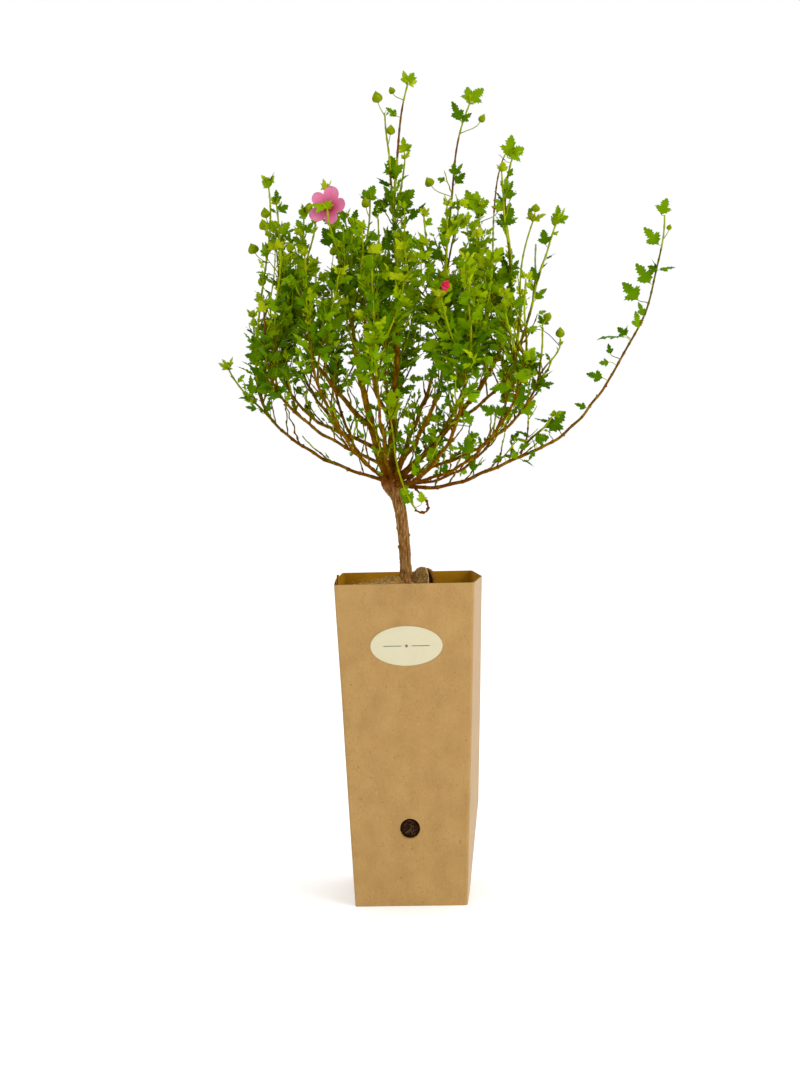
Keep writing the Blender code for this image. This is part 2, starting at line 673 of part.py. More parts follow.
def grow_stems(boughs):
    """The leader and the shoots of every mass."""
    stems = {}
    for mass in MASSES:
        bough = boughs[mass.bough]
        foot_d = min(STEM_FOOT, 2 * bough.radii[-1]) / MM
        share, heading = SIDE_FEET.get(mass.name, (1.0, None))
        foot, along = foot_on(bough, share, heading, foot_d)
        tip_d = STEM_TIP / MM
        leader = limb_from(foot, along, mass.leader, mass.rise, foot_d, tip_d, STEM_STATIONS + 1)
        stems[mass.name] = [leader]
        for share, tip in mass.shoots:
            place, along, radius = leader.at(share)
            tip = np.array(tip) * MM
            heading = unit(along + unit(tip - place))
            line = grown_line(place, heading, tip, unit(unit(tip - place) + (0, 0, 0.6)), STEM_STATIONS)
            radii = np.linspace(radius * 0.85, STEM_TIP / 2, STEM_STATIONS)
            stems[mass.name].append(Limb(line, radii))
    return stems


def frame_along(along, roll):
    """A matrix's three axes with X along the heading, turned about it."""
    across = unit(np.cross((0, 0, 1), along)) if abs(along[2]) < 0.99 else np.array((1.0, 0, 0))
    normal = np.cross(along, across)
    turned_across = math.cos(roll) * across + math.sin(roll) * normal
    return along, turned_across, np.cross(along, turned_across)


def matrix_at(place, axes):
    matrix = Matrix.Identity(4)
    for k in range(3):
        matrix.col[k] = (*axes[k], 0)
    matrix.col[3] = (*place, 1)
    return matrix


def leaf_mesh():
    """A unit leaf: a flat kite of eight faces, root at the origin and tip on +X."""
    bm = bmesh.new()
    bmesh.ops.create_uvsphere(bm, u_segments=4, v_segments=2, radius=0.5)
    for vertex in bm.verts:
        x, y, z = vertex.co
        vertex.co = (x + 0.5 if abs(x) > 0.1 else LEAF_BROADEST, y * LEAF_WIDTH_SHARE, z)
    return mesh_from("leaf", bm)


def leaf_places(place, axes, length):
    """Places all over a leaf, from near its root to its tip, to test where it may grow."""
    along, across, up = axes
    found = []
    for share in np.linspace(0.2, 1.0, 6):
        half = min(share / LEAF_BROADEST, (1 - share) / (1 - LEAF_BROADEST)) * length * LEAF_WIDTH_SHARE / 2
        middle = place + along * length * share - up * length * LEAF_DROOP * share
        found += [middle + across * side * half for side in (-1, -0.5, 0, 0.5, 1)]
    return np.array(found)


class Growth:
    """Grows one mass: stems, side twigs by a divergence of 137.5 degrees, and leaves on both."""

    def __init__(self, space, index, mass, leaf, triangle):
        self.space = space
        self.index = index
        self.mass = mass
        self.leaf = leaf
        self.triangle = triangle
        self.random = np.random.default_rng([SEED, index])
        self.pieces = []
        self.taken = []

    def has_room(self, places):
        """True where no leaf of this mass that has already grown is in the way."""
        for other in self.taken:
            away = np.linalg.norm(places[:, None, :] - other[None, :, :], axis=2)
            if away.min() < LEAF_ROOM:
                return False
        return True

    def add_leaf(self, place, outward, along, size):
        """Tries a few tilts for a leaf, and leaves it out where none has room."""
        length = self.random.uniform(*LEAF_LENGTHS) * size * self.mass.leaf_size
        for _ in range(LEAF_TRIES):
            heading = unit(outward + along * self.random.uniform(*LEAF_LIFT))
            axes = frame_along(heading, self.random.uniform(-LEAF_ROLL, LEAF_ROLL))
            places = leaf_places(place, axes, length)
            if self.has_room(places) and self.space.holds(places, self.index):
                self.taken.append(places)
                self.pieces.append(self.blade(place, axes, length))
                return

    def blade(self, place, axes, length):
        blade = add_object("blade", self.leaf.copy(), "leaf_green", "growing")
        shape = Matrix.Diagonal((length, length, LEAF_THICKNESS, 1.0))
        shape[2][0] = -LEAF_DROOP * length
        blade.matrix_world = matrix_at(place, axes) @ shape
        return blade

    def add_twig(self, place, outward, along, length):
        heading = unit(outward * 0.8 + along + np.array((0, 0, 0.35)))
        tip = place + heading * length
        checked = np.linspace(place + heading * 4 * MM, tip, 7)
        if not self.space.holds(checked, self.index):
            return
        bm = bmesh.new()
        radius = TWIG_DIAMETER / 2
        bmesh.ops.create_cone(
            bm, cap_ends=True, segments=3, radius1=radius, radius2=radius * TWIG_TAPER, depth=length
        )
        twig = add_object("twig", mesh_from("twig", bm), "leaf_green", "growing")
        axes = frame_along(heading, 0.4)
        twig.matrix_world = matrix_at((place + tip) / 2, (axes[1], axes[2], axes[0]))
        self.pieces.append(twig)
        for number in range(TWIG_LEAVES):
            share = (number + 1) / TWIG_LEAVES * 0.97
            turn = number * DIVERGENCE + self.random.uniform(-0.3, 0.3)
            side = math.cos(turn) * axes[1] + math.sin(turn) * axes[2]
            self.add_leaf(place + heading * length * share, side, heading, TWIG_LEAF_SIZES[number])

    def grow_along(self, stem):
        turn = self.random.uniform(0, 2 * math.pi)
        here = FIRST_LEAF
        number = 0
        total = stem.lengths[-1]
        while here < total * STEM_END:
            share = here / total
            place, along, _ = stem.at(share)
            axes = frame_along(along, turn)
            if number % TWIG_EVERY == 1 and share < TWIG_LAST:
                shortened = TWIG_SHORTENING[0] - TWIG_SHORTENING[1] * share
                self.add_twig(place, axes[1], along, self.random.uniform(*TWIG_LENGTHS) * shortened)
            else:
                self.add_leaf(place, axes[1], along, 1 + (END_LEAF_SHARE - 1) * share**2)
            turn += DIVERGENCE
            here += LEAF_SPACING * self.random.uniform(*SPACING_SPREAD)
            number += 1

    def add_tuft(self, stem):
        """Small upright leaves at a shoot's end."""
        place, along, _ = stem.at(STEM_END)
        for number, size in enumerate(TUFT_SIZES):
            axes = frame_along(along, number * DIVERGENCE)
            self.add_leaf(place, axes[1] * 0.5, along, size)

    def add_bud(self, stem, width, length):
        place, along, _ = stem.at(1.0)
        bm = bmesh.new()
        bmesh.ops.create_uvsphere(bm, u_segments=5, v_segments=3, radius=0.5)
        bud = add_object("bud", mesh_from("bud", bm), "leaf_green", "growing")
        axes = frame_along(along, 0.0)
        shape = Matrix.Diagonal((width, width, length, 1.0))
        bud.matrix_world = matrix_at(place + along * length * 0.3, (axes[1], axes[2], axes[0])) @ shape
        self.pieces.append(bud)

    def add_flower(self, stem):
        """Five broad petals in a shallow bowl that faces the front, on the stem's end."""
        place, _, _ = stem.at(1.0)
        facing = direction(*FLOWER_FACING)
        axes = frame_along(facing, 0.2)
        for number in range(PETAL_COUNT):
            angle = 2 * math.pi * number / PETAL_COUNT
            outward = math.cos(angle) * axes[1] + math.sin(angle) * axes[2]
            heading = unit(outward + facing * FLOWER_CUP)
            bm = bmesh.new()
            bmesh.ops.create_uvsphere(bm, u_segments=7, v_segments=3, radius=0.5)
            petal = add_object("petal", mesh_from("petal", bm), "leaf_green", "growing")
            across = unit(np.cross(facing, heading))
            shape = Matrix.Diagonal((FLOWER_RADIUS * 1.05, FLOWER_RADIUS * 0.95, PETAL_THICKNESS, 1.0))
            centre = place + heading * FLOWER_RADIUS * 0.5
            petal.matrix_world = matrix_at(centre, (heading, across, np.cross(heading, across))) @ shape
            self.pieces.append(petal)

    def grow(self):
        stems = self.space.stems[self.mass.name]
        for number, stem in enumerate(stems):
            self.grow_along(stem)
            kind = self.mass.ends.get(number, "tuft")
            if kind == "flower":
                self.add_flower(stem)
            elif kind == "tuft":
                self.add_tuft(stem)
            else:
                self.add_bud(stem, BUD_WIDTH, BUD_LENGTH)
        body = as_mesh(self.mass.name, tube_curve(self.mass.name, stems[0], 0, self.triangle), "leaf_green")
        for number, stem in enumerate(stems[1:]):
            name = f"{self.mass.name}_shoot_{number}"
            curve = tube_curve(name, stem, 0, self.triangle)
            self.pieces.append(as_mesh(name, curve, "leaf_green", "growing"))
        return union(body, self.pieces)


def make_triangle():
    """The three-sided section of the thin stems, one millimetre in radius."""
    curve = bpy.data.curves.new("stem_section", "CURVE")
    curve.dimensions = "2D"
    spline = curve.splines.new("POLY")
    spline.points.add(2)
    spline.use_cyclic_u = True
    for point, angle in zip(spline.points, (0, 120, 240)):
        a = math.radians(angle)
        point.co = (math.cos(a) * MM, math.sin(a) * MM, 0, 1)
    return cutter(add_object("stem_section", curve, "leaf_green", "cutters"))


def main():
    clear_scene()
    make_sleeve()
    make_seam_flap()
    make_label()
    make_root_ball()
    make_mat()
    make_mat_curl()
    limbs = grow_boughs()
    make_trunk(limbs["trunk"])
    for bough in BOUGHS:
        add_object(bough.name, tube_curve(bough.name, limbs[bough.name], 1), "bark")
    space = Space(limbs, grow_stems(limbs))
    triangle = make_triangle()
    leaf = leaf_mesh()
    for index, mass in enumerate(MASSES):
        Growth(space, index, mass, leaf, triangle).grow()


if __name__ == "__main__":
    main()
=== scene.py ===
"""Looks for the potted cape mallow: bark, twigs, lobed leaves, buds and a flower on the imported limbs,
and the kraft carton with its board edge, soil and fibre mat.
Everything is in metres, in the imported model's frame; the tables are in millimetres and degrees.
"""

import math

import bpy
import numpy as np
from mathutils import Matrix, Vector, noise
from mathutils.geometry import delaunay_2d_cdt


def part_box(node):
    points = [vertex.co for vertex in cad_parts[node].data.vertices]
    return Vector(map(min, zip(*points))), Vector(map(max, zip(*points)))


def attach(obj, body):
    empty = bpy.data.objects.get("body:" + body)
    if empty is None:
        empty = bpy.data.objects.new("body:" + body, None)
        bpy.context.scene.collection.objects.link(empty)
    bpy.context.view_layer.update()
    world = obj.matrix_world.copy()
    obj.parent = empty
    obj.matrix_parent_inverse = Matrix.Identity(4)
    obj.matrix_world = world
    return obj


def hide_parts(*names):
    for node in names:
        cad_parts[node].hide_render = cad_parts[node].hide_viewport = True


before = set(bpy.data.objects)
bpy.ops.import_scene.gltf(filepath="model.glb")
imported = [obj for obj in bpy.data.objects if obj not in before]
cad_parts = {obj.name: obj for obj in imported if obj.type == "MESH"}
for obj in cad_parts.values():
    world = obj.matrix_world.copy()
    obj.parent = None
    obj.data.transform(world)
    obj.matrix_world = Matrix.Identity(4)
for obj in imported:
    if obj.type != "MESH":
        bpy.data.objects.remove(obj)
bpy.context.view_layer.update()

MM = 0.001
GAP = 0.3 * MM
SEED = 20
DIVERGENCE = math.radians(137.5)
FULL_TURN = 6.28
UP = np.array((0, 0, 1.0))

# ---------------------------------------------------------------- the source's limbs

TRUNK = (
    (255.3, -0.6, 16.4), (259.7, -0.6, 14.4), (265.2, 0.1, 10.2), (275.0, 0.0, 9.2), (289.0, -0.5, 9.3),
    (303.1, -1.3, 9.3), (320.2, -3.2, 9.6), (331.0, -5.5, 10.2), (337.7, -7.9, 14.2), (343.0, -8.8, 17.6),
)
KNOB_START = 333 * MM
TRUNK_BUMPS = ((289, 186), (298.5, 356), (328, 350), (304.5, 184))

# name, parent, share, heading, tip, rise, foot diameter, tip diameter, tip azimuth
BOUGHS = (
    ("left_main", "trunk", 1.0, (212, 60), (-26, -14, 396), 76, 7.4, 6.2, None),
    ("left_upright", "left_main", 1.0, None, (-36, -44, 460), 80, 5.4, 3.6, None),
    ("left_high", "left_main", 0.80, (186, 46), (-76, -28, 453), 55, 4.0, 2.8, None),
    ("left_back", "left_main", 0.45, (150, 26), (-88, 38, 409), 45, 3.3, 2.3, None),
    ("left_back_high", "left_back", 0.42, (140, 50), (-90, 64, 446), 60, 2.7, 2.2, None),
    ("left_front", "left_main", 0.16, (214, 22), (-90, -44, 408), 45, 2.6, 2.2, None),
    ("left_low", "trunk", 1.0, (184, 16), (-100, -11, 389), 42, 2.8, 2.3, None),
    ("centre", "trunk", 1.0, (96, 58), (-3, 10, 462), 86, 6.4, 4.2, None),
    ("centre_left", "centre", 0.42, (190, 50), (-28, 4, 468), 80, 3.2, 2.5, None),
    ("centre_back", "centre", 0.34, (100, 46), (-16, 52, 456), 76, 3.0, 2.4, None),
    ("right_upright", "trunk", 1.0, (0, 70), (30, 20, 446), 74, 3.6, 2.7, None),
    ("right_main", "trunk", 1.0, (4, 40), (79, -13, 445), 62, 4.8, 3.4, None),
    ("right_high", "right_main", 0.50, (346, 26), (102, -26, 468), 74, 2.7, 2.2, None),
    ("front_right", "trunk", 1.0, (300, 48), (30, -50, 415), 64, 3.8, 2.8, None),
    ("front", "trunk", 1.0, (262, 30), (-16, -86, 412), 55, 2.8, 2.3, None),
    ("front_left", "trunk", 1.0, (236, 20), (-58, -76, 410), 52, 2.8, 2.3, None),
    ("front_right_low", "trunk", 1.0, (302, -4), (48, -76, 404), 66, 3.7, 2.7, None),
    ("right_front", "trunk", 1.0, (326, 0), (88, -66, 404), 58, 2.6, 2.2, None),
    ("right_low", "trunk", 1.0, (338, 20), (104, -36, 410), 60, 2.6, 2.1, None),
    ("back_right", "trunk", 1.0, (52, 30), (48, 72, 412), 58, 3.0, 2.4, None),
    ("back", "trunk", 1.0, (92, 16), (-8, 92, 404), 52, 2.8, 2.3, None),
    ("back_left", "trunk", 1.0, (134, 20), (-56, 82, 404), 52, 2.8, 2.3, None),
    ("right_back", "trunk", 1.0, (24, -6), (80, 36, 388), 66, 2.4, 2.0, None),
    ("arm_lower", "trunk", 1.0, (353, -14), (106, -5, 366), 20, 3.2, 2.5, None),
    ("arm_upper", "arm_lower", 1.0, None, (173, -7, 429), 58, 2.4, 1.9, None),
    ("droop", "arm_lower", 0.13, (334, -48), (10, -15, 321), 58, 1.9, 1.7, 200),
)

# name, bough, leader's tip, rise, shoots (share, tip), leaf size, how bright (0 dark to 1 young)
MASSES = (
    ("left_low", "left_low", (-105, -8, 588), 89, ((0.03, (-140, -19, 438)), (0.10, (-121, -4, 480))), 0.9,
     0.7),
    ("left_front", "left_front", (-106, -62, 492), 84, ((0.12, (-90, -72, 528)),), 1.0, 0.5),
    ("left_back", "left_back", (-112, 40, 505), 86, ((0.15, (-92, 30, 530)),), 1.0, 0.4),
    ("left_back_high", "left_back_high", (-81, 45, 570), 88, ((0.10, (-102, 80, 530)),), 1.0, 0.45),
    ("left_high", "left_high", (-96, -35, 567), 84, ((0.15, (-66, -24, 554)),), 1.0, 0.5),
    ("flower", "left_upright", (-52, -56, 559), 84, ((0.30, (-54, -42, 576)), (0.20, (-34, -68, 546))), 1.0,
     0.5),
    ("centre_left", "centre_left", (-22, -15, 572), 80, ((0.30, (-44, 8, 560)),), 1.0, 0.35),
    ("crown", "centre", (10, -10, 664), 58, ((0.42, (6, 25, 610)), (0.50, (-9, 2, 642))), 1.0, 0.6),
    ("centre_back", "centre_back", (-19, 70, 568), 86, ((0.20, (4, 58, 556)),), 1.0, 0.4),
    ("right_upright", "right_upright", (60, 10, 651), 66, ((0.30, (50, 36, 572)), (0.78, (70, 14, 634))),
     1.0, 0.45),
    ("right_main", "right_main", (94, -25, 604), 66, ((0.30, (84, -38, 588)), (0.12, (62, -30, 545))), 1.0,
     0.6),
    ("right_high", "right_high", (128, -15, 550), 66, ((0.20, (112, -4, 535)),), 1.0, 0.5),
    ("front_right", "front_right", (22, -72, 550), 86, ((0.20, (40, -56, 560)), (0.35, (36, -78, 502))), 1.0,
     0.6),
    ("front", "front", (-18, -98, 520), 88, ((0.12, (6, -102, 498)),), 1.0, 0.7),
    ("front_left", "front_left", (-70, -88, 520), 86, ((0.12, (-44, -94, 505)),), 1.0, 0.6),
    ("front_right_low", "front_right_low", (56, -94, 512), 86, ((0.15, (34, -100, 486)),), 1.0, 0.75),
    ("right_front", "right_front", (100, -72, 500), 84, ((0.12, (82, -88, 486)),), 1.0, 0.6),
    ("right_low", "right_low", (114, -46, 464), 84, ((0.30, (128, -40, 450)), (0.10, (120, -62, 440))), 0.85,
     0.5),
    ("back_right", "back_right", (69, 65, 574), 84, ((0.06, (72, 94, 515)), (0.12, (38, 90, 530))), 1.0,
     0.45),
    ("back", "back", (-12, 100, 525), 88, ((0.12, (12, 104, 502)),), 1.0, 0.5),
    ("back_left", "back_left", (-62, 94, 528), 86, ((0.12, (-84, 88, 500)),), 1.0, 0.5),
    ("right_back", "right_back", (112, 38, 558), 70, ((0.12, (104, 62, 498)),), 1.0, 0.5),
    ("arm_spur", "arm_lower", (122, -12, 394), 60, (), 0.8, 0.3),
    ("arm", "arm_upper", (216, -10, 555), 88, (), 0.95, 0.5),
    ("shoot", "droop", (-10, -34, 402), 74, (), 0.85, 1.0),
)
# leaders that are long green shoots this year, and how far each stands off the straight line, sideways
GREEN_SHOOTS = ("left_low", "crown", "flower", "front", "front_right", "front_right_low", "right_main",
                "right_high")
BOWS = {"left_low": 7.0}
SIDE_FEET = {"arm_spur": (0.90, (30, 66))}
# twigs that carry the crown's front as far out as the solids reach: mass, share, azimuth, length
OUTER_TWIGS = (
    ("front", 0.20, 264, 30), ("front", 0.40, 284, 26), ("front_left", 0.24, 246, 24),
    ("front_right_low", 0.22, 284, 26), ("right_front", 0.30, 312, 20),
)
STEM_FOOT = 2.3
STEM_TIP = 1.3
KINK = 0.55 * MM


def direction(azimuth, rise):
    a = math.radians(azimuth)
    e = math.radians(rise)
    return np.array((math.cos(e) * math.cos(a), math.cos(e) * math.sin(a), math.sin(e)))


def unit(vector):
    return vector / np.linalg.norm(vector)


def mm(*values):
    """Millimetres as an array in metres."""
    return np.array(values) * MM


def line_lengths(points):
    """The length along a line up to each of its points."""
    return np.concatenate([[0], np.cumsum(np.linalg.norm(np.diff(points, axis=0), axis=1))])


def points_along(along, lengths, points):
    return np.stack([np.interp(along, lengths, column) for column in points.T], axis=-1)


def sides_round(count):
    """Evenly spaced angles of a full turn."""
    return np.linspace(0, 2 * math.pi, count, endpoint=False)


class Limb:
    def __init__(self, points, radii):
        self.points = points
        self.radii = radii
        self.lengths = line_lengths(points)
        count = max(8, int(self.lengths[-1] / (1.5 * MM)))
        along = np.linspace(0, self.lengths[-1], count)
        self.samples = points_along(along, self.lengths, points)
        self.sample_radii = np.interp(along, self.lengths, radii)

    def at(self, share):
        here = share * self.lengths[-1]
        place = points_along(here, self.lengths, self.points)
        index = min(np.searchsorted(self.lengths, here, side="right"), len(self.points) - 1)
        heading = unit(self.points[index] - self.points[index - 1])
        return place, heading, float(np.interp(here, self.lengths, self.radii))

    def clearance(self, places):
        away = np.linalg.norm(places[:, None, :] - self.samples[None, :, :], axis=2)
        return float((away - self.sample_radii[None, :]).min())


def grown_line(start, heading, tip, tip_heading, stations):
    reach = np.linalg.norm(tip - start)
    out = start + heading * reach * 0.36
    back = tip - tip_heading * reach * 0.36
    t = np.linspace(0, 1, stations)[:, None]
    line = (1 - t) ** 3 * start + 3 * (1 - t) ** 2 * t * out + 3 * (1 - t) * t**2 * back + t**3 * tip
    side = unit(np.cross(tip - start, (0.3, 0.2, 1.0)))
    phase = 1000 * abs(tip[0] + 2 * tip[1])
    sway = np.sin(math.pi * t) * np.sin(3 * math.pi * t + phase)
    return line + side * sway * reach * 0.010


def foot_ring(place, heading, radius):
    across = unit(np.cross(heading, (0.31, 0.17, 0.93)))
    other = np.cross(heading, across)
    ring = [place + radius * (math.cos(a) * across + math.sin(a) * other) for a in sides_round(12)]
    return np.array([place, *ring])


def seated_foot(parent, place, heading, radius):
    slide = 0.0
    while parent.clearance(foot_ring(place + heading * slide, heading, radius)) < GAP:
        slide += 0.1 * MM
    return place + heading * slide


def limb_from(foot, along, tip, rise, foot_d, tip_d, stations, tip_azimuth=None):
    tip = np.array(tip) * MM
    if tip_azimuth is None:
        tip_azimuth = math.degrees(math.atan2(tip[1] - foot[1], tip[0] - foot[0]))
    line = grown_line(foot, along, tip, direction(tip_azimuth, rise), stations)
    taper = np.linspace(0, 1, stations) ** 0.8
    return Limb(line, (foot_d + (tip_d - foot_d) * taper) * MM / 2)


def foot_on(parent, share, heading, foot_d):
    place, along, _ = parent.at(share)
    if heading is None:
        return place + along * GAP, along
    along = direction(*heading)
    return seated_foot(parent, place, along, foot_d * MM / 2), along


def grow_boughs():
    points = np.array([(x, 0.0, z) for z, x, _ in TRUNK]) * MM
    trunk = Limb(points, np.array([d / 2 for _, _, d in TRUNK]) * MM)
    limbs = {"trunk": trunk}
    for name, parent, share, heading, tip, rise, foot_d, tip_d, azimuth in BOUGHS:
        if parent == "trunk":
            along = direction(*heading)
            foot = seated_foot(trunk, trunk.points[-1], along, foot_d * MM / 2)
        else:
            foot, along = foot_on(limbs[parent], share, heading, foot_d)
        limbs[name] = limb_from(foot, along, tip, rise, foot_d, tip_d, 31, azimuth)
    return limbs


def grow_stems(limbs):
    stems = {}
    for name, bough, tip, rise, shoots, _, _ in MASSES:
        share, heading = SIDE_FEET.get(name, (1.0, None))
        tip_r = limbs[bough].radii[-1]
        foot_d = min(STEM_FOOT, 2 * tip_r / MM)
        foot, along = foot_on(limbs[bough], share, heading, foot_d)
        wood_d = foot_d if heading else max(foot_d, 1.9 * tip_r / MM)
        leader = limb_from(foot, along, tip, rise, wood_d, STEM_TIP, 36)
        bow = np.sin(math.pi * np.linspace(0, 1, 36))[:, None] * (BOWS.get(name, 0) * MM, 0, 0)
        leader = Limb(leader.points + bow, leader.radii)
        stems[name] = [leader]
        for share, tip in shoots:
            place, along, radius = leader.at(share)
            tip = np.array(tip) * MM
            heading = unit(along + unit(tip - place))
            line = grown_line(place, heading, tip, unit(unit(tip - place) + (0, 0, 0.6)), 30)
            radii = np.linspace(min(radius * 0.8, 1.3 * MM), STEM_TIP * MM / 2, 30)
            stems[name].append(Limb(line, radii))
    return stems


# ---------------------------------------------------------------- mesh helpers

class Soup:
    """Triangles gathered for one joined piece."""

    def __init__(self):
        self.points = []
        self.faces = []
        self.count = 0

    def add(self, points, faces):
        self.points.append(points)
        self.faces.append(faces + self.count)
        self.count += len(points)

    def tube(self, points, radii, sides):
        self.add(*tube(points, radii, sides))

    def build(self, name, material, smooth=True):
        points = np.concatenate(self.points).astype(np.float32)
        faces = np.concatenate(self.faces).astype(np.int32)
        mesh = bpy.data.meshes.new(name)
        mesh.vertices.add(len(points))
        mesh.vertices.foreach_set("co", points.ravel())
        mesh.loops.add(faces.size)
        mesh.loops.foreach_set("vertex_index", faces.ravel())
        mesh.polygons.add(len(faces))
        mesh.polygons.foreach_set("loop_start", np.arange(0, faces.size, 3, dtype=np.int32))
        mesh.update(calc_edges=True)
        mesh.validate()
        if smooth:
            mesh.shade_smooth()
        return add_piece(name, mesh, material)


def add_piece(name, mesh, material):
    obj = bpy.data.objects.new(name, mesh)
    mesh.materials.clear()
    mesh.materials.append(material)
    bpy.context.scene.collection.objects.link(obj)
    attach(obj, "root")
    return obj


def grid_faces(rows, columns, closed):
    """Triangles of a grid of points, row by row, closed round each row or open."""
    r, c = np.meshgrid(np.arange(rows - 1), np.arange(columns if closed else columns - 1), indexing="ij")
    a = r * columns + c
    b = r * columns + (c + 1) % columns
    quads = np.stack([a, b, b + columns, a + columns], axis=-1).reshape(-1, 4)
    return np.concatenate([quads[:, [0, 1, 2]], quads[:, [0, 2, 3]]])


def carried_frames(points):
    """Two cross directions at each point of a line, carried along it without twist."""
    tangents = np.gradient(points, axis=0)
    tangents /= np.linalg.norm(tangents, axis=1)[:, None]
    side = unit(np.cross(tangents[0], (0.31, 0.17, 0.93)))
    sides = []
    for tangent in tangents:
        side = unit(side - tangent * (side @ tangent))
        sides.append(side)
    sides = np.array(sides)
    return tangents, sides, np.cross(tangents, sides)


def tube(points, radii, sides):
    """A capped tube. radii is one radius for each point, or one for each point and side."""
    tangents, across, other = carried_frames(points)
    angles = sides_round(sides)
    radii = np.asarray(radii)
    if radii.ndim == 1:
        radii = np.repeat(radii[:, None], sides, axis=1)
    cosines, sines = np.cos(angles)[None, :, None], np.sin(angles)[None, :, None]
    ring = cosines * across[:, None, :] + sines * other[:, None, :]
    body = (points[:, None, :] + ring * radii[:, :, None]).reshape(-1, 3)
    start = points[0] - tangents[0] * radii[0].mean() * 0.2
    end = points[-1] + tangents[-1] * radii[-1].mean() * 0.4
    faces = grid_faces(len(points), sides, True)
    i = np.arange(sides)
    j = (i + 1) % sides
    last = (len(points) - 1) * sides
    low = np.stack([np.full(sides, len(body)), j, i], axis=1)
    high = np.stack([np.full(sides, len(body) + 1), last + i, last + j], axis=1)
    return np.vstack([body, start, end]), np.concatenate([faces, low, high])


def frame_along(along, roll):
    across = unit(np.cross((0, 0, 1), along)) if abs(along[2]) < 0.99 else np.array((1.0, 0, 0))
    normal = np.cross(along, across)
    turned = math.cos(roll) * across + math.sin(roll) * normal
    return along, turned, np.cross(along, turned)


def bezier(a, b, c, d, count):
    t = np.linspace(0, 1, count)[:, None]
    return (1 - t) ** 3 * a + 3 * (1 - t) ** 2 * t * b + 3 * (1 - t) * t**2 * c + t**3 * d


def noise_at(x, y, z):
    """Smooth noise between -1 and 1."""
    return noise.noise(Vector((x, y, z)))


def held(value):
    """A value held between 0 and 1."""
    return max(0.0, min(1.0, value))


# ---------------------------------------------------------------- materials

def new_skin(name):
    made = bpy.data.materials.new(name)
    made.use_nodes = True
    return made, made.node_tree.nodes["Principled BSDF"]


def feed(node, inputs):
    """Sets a node's inputs: a socket is linked, anything else is a value."""
    for key, value in inputs.items():
        if isinstance(value, bpy.types.NodeSocket):
            node.id_data.links.new(value, node.inputs[key])
        else:
            node.inputs[key].default_value = value


def add_node(skin, kind, inputs, **settings):
    node = skin.node_tree.nodes.new("ShaderNode" + kind)
    for key, value in settings.items():
        setattr(node, key, value)
    feed(node, inputs)
    return node


def colour_ramp(skin, value, stops):
    """Colours along a value, each stop a position and a colour."""
    ramp = add_node(skin, "ValToRGB", {"Fac": value})
    elements = ramp.color_ramp.elements
    while len(elements) < len(stops):
        elements.new(0.5)
    for element, (position, colour) in zip(elements, stops):
        element.position = position
        element.color = (*colour, 1.0)
    return ramp.outputs["Color"]


def laid_over(skin, share, under, colour):
    mix = add_node(skin, "Mix", {"Factor": share, "A": under, "B": (*colour, 1.0)}, data_type="RGBA")
    return mix.outputs["Result"]


def add_relief(skin, shader, height, strength, distance):
    relief = add_node(skin, "Bump", {"Strength": strength, "Distance": distance, "Height": height})
    feed(shader, {"Normal": relief.outputs["Normal"]})


def material(name, colours, scale, rough, stretch=(1, 1, 1), bump=0.25, bump_scale=None, detail=6.0, spots=(),
             heights=(), gloss=0.05, sheen=0.0):
    """A matt surface: a noise that mixes the colours, optional specks, fine bump and uneven roughness."""
    made, shader = new_skin(name)
    feed(shader, {"Metallic": 0.0, "Specular IOR Level": gloss})
    feed(shader, {"Sheen Weight": sheen, "Sheen Roughness": 0.35})
    place = add_node(made, "TexCoord", {}).outputs["Object"]
    where = add_node(made, "Mapping", {"Scale": stretch, "Vector": place}).outputs["Vector"]
    cloud = add_node(made, "TexNoise", {"Scale": scale, "Detail": detail, "Roughness": 0.6, "Vector": where})
    cloud = cloud.outputs["Fac"]
    steps = max(1, len(colours) - 1)
    shade = colour_ramp(made, cloud, [(0.28 + 0.44 * i / steps, colour) for i, colour in enumerate(colours)])
    for full, none, band_colour in heights:
        # a colour that takes over towards a height, in millimetres, with a ragged edge
        split = add_node(made, "SeparateXYZ", {"Vector": place})
        ragged = add_node(made, "Math", {0: cloud, 1: 0.012, 2: split.outputs["Z"]}, operation="MULTIPLY_ADD")
        band = add_node(made, "MapRange", {"Value": ragged.outputs[0], "From Min": none * MM + 0.006,
                                           "From Max": full * MM + 0.006, "To Max": 0.8})
        shade = laid_over(made, band.outputs["Result"], shade, band_colour)
    for speck_scale, low, high, speck_colour, strength in spots:
        specks = add_node(made, "TexNoise", {"Scale": speck_scale, "Detail": 2.0, "Vector": where})
        gate = add_node(made, "MapRange", {"Value": specks.outputs["Fac"], "From Min": low, "From Max": high,
                                           "To Max": strength})
        shade = laid_over(made, gate.outputs["Result"], shade, speck_colour)
    uneven = add_node(made, "MapRange", {"Value": cloud, "To Min": rough[0], "To Max": rough[1]})
    feed(shader, {"Base Color": shade, "Roughness": uneven.outputs["Result"]})
    fine = add_node(made, "TexNoise", {"Scale": bump_scale or scale * 4, "Detail": 4.0, "Vector": where})
    add_relief(made, shader, fine.outputs["Fac"], bump, 0.0004)
    return made


def srgb(*values):
    return tuple(round(((v / 255 + 0.055) / 1.055) ** 2.4 if v > 10 else v / 255 / 12.92, 4) for v in values)


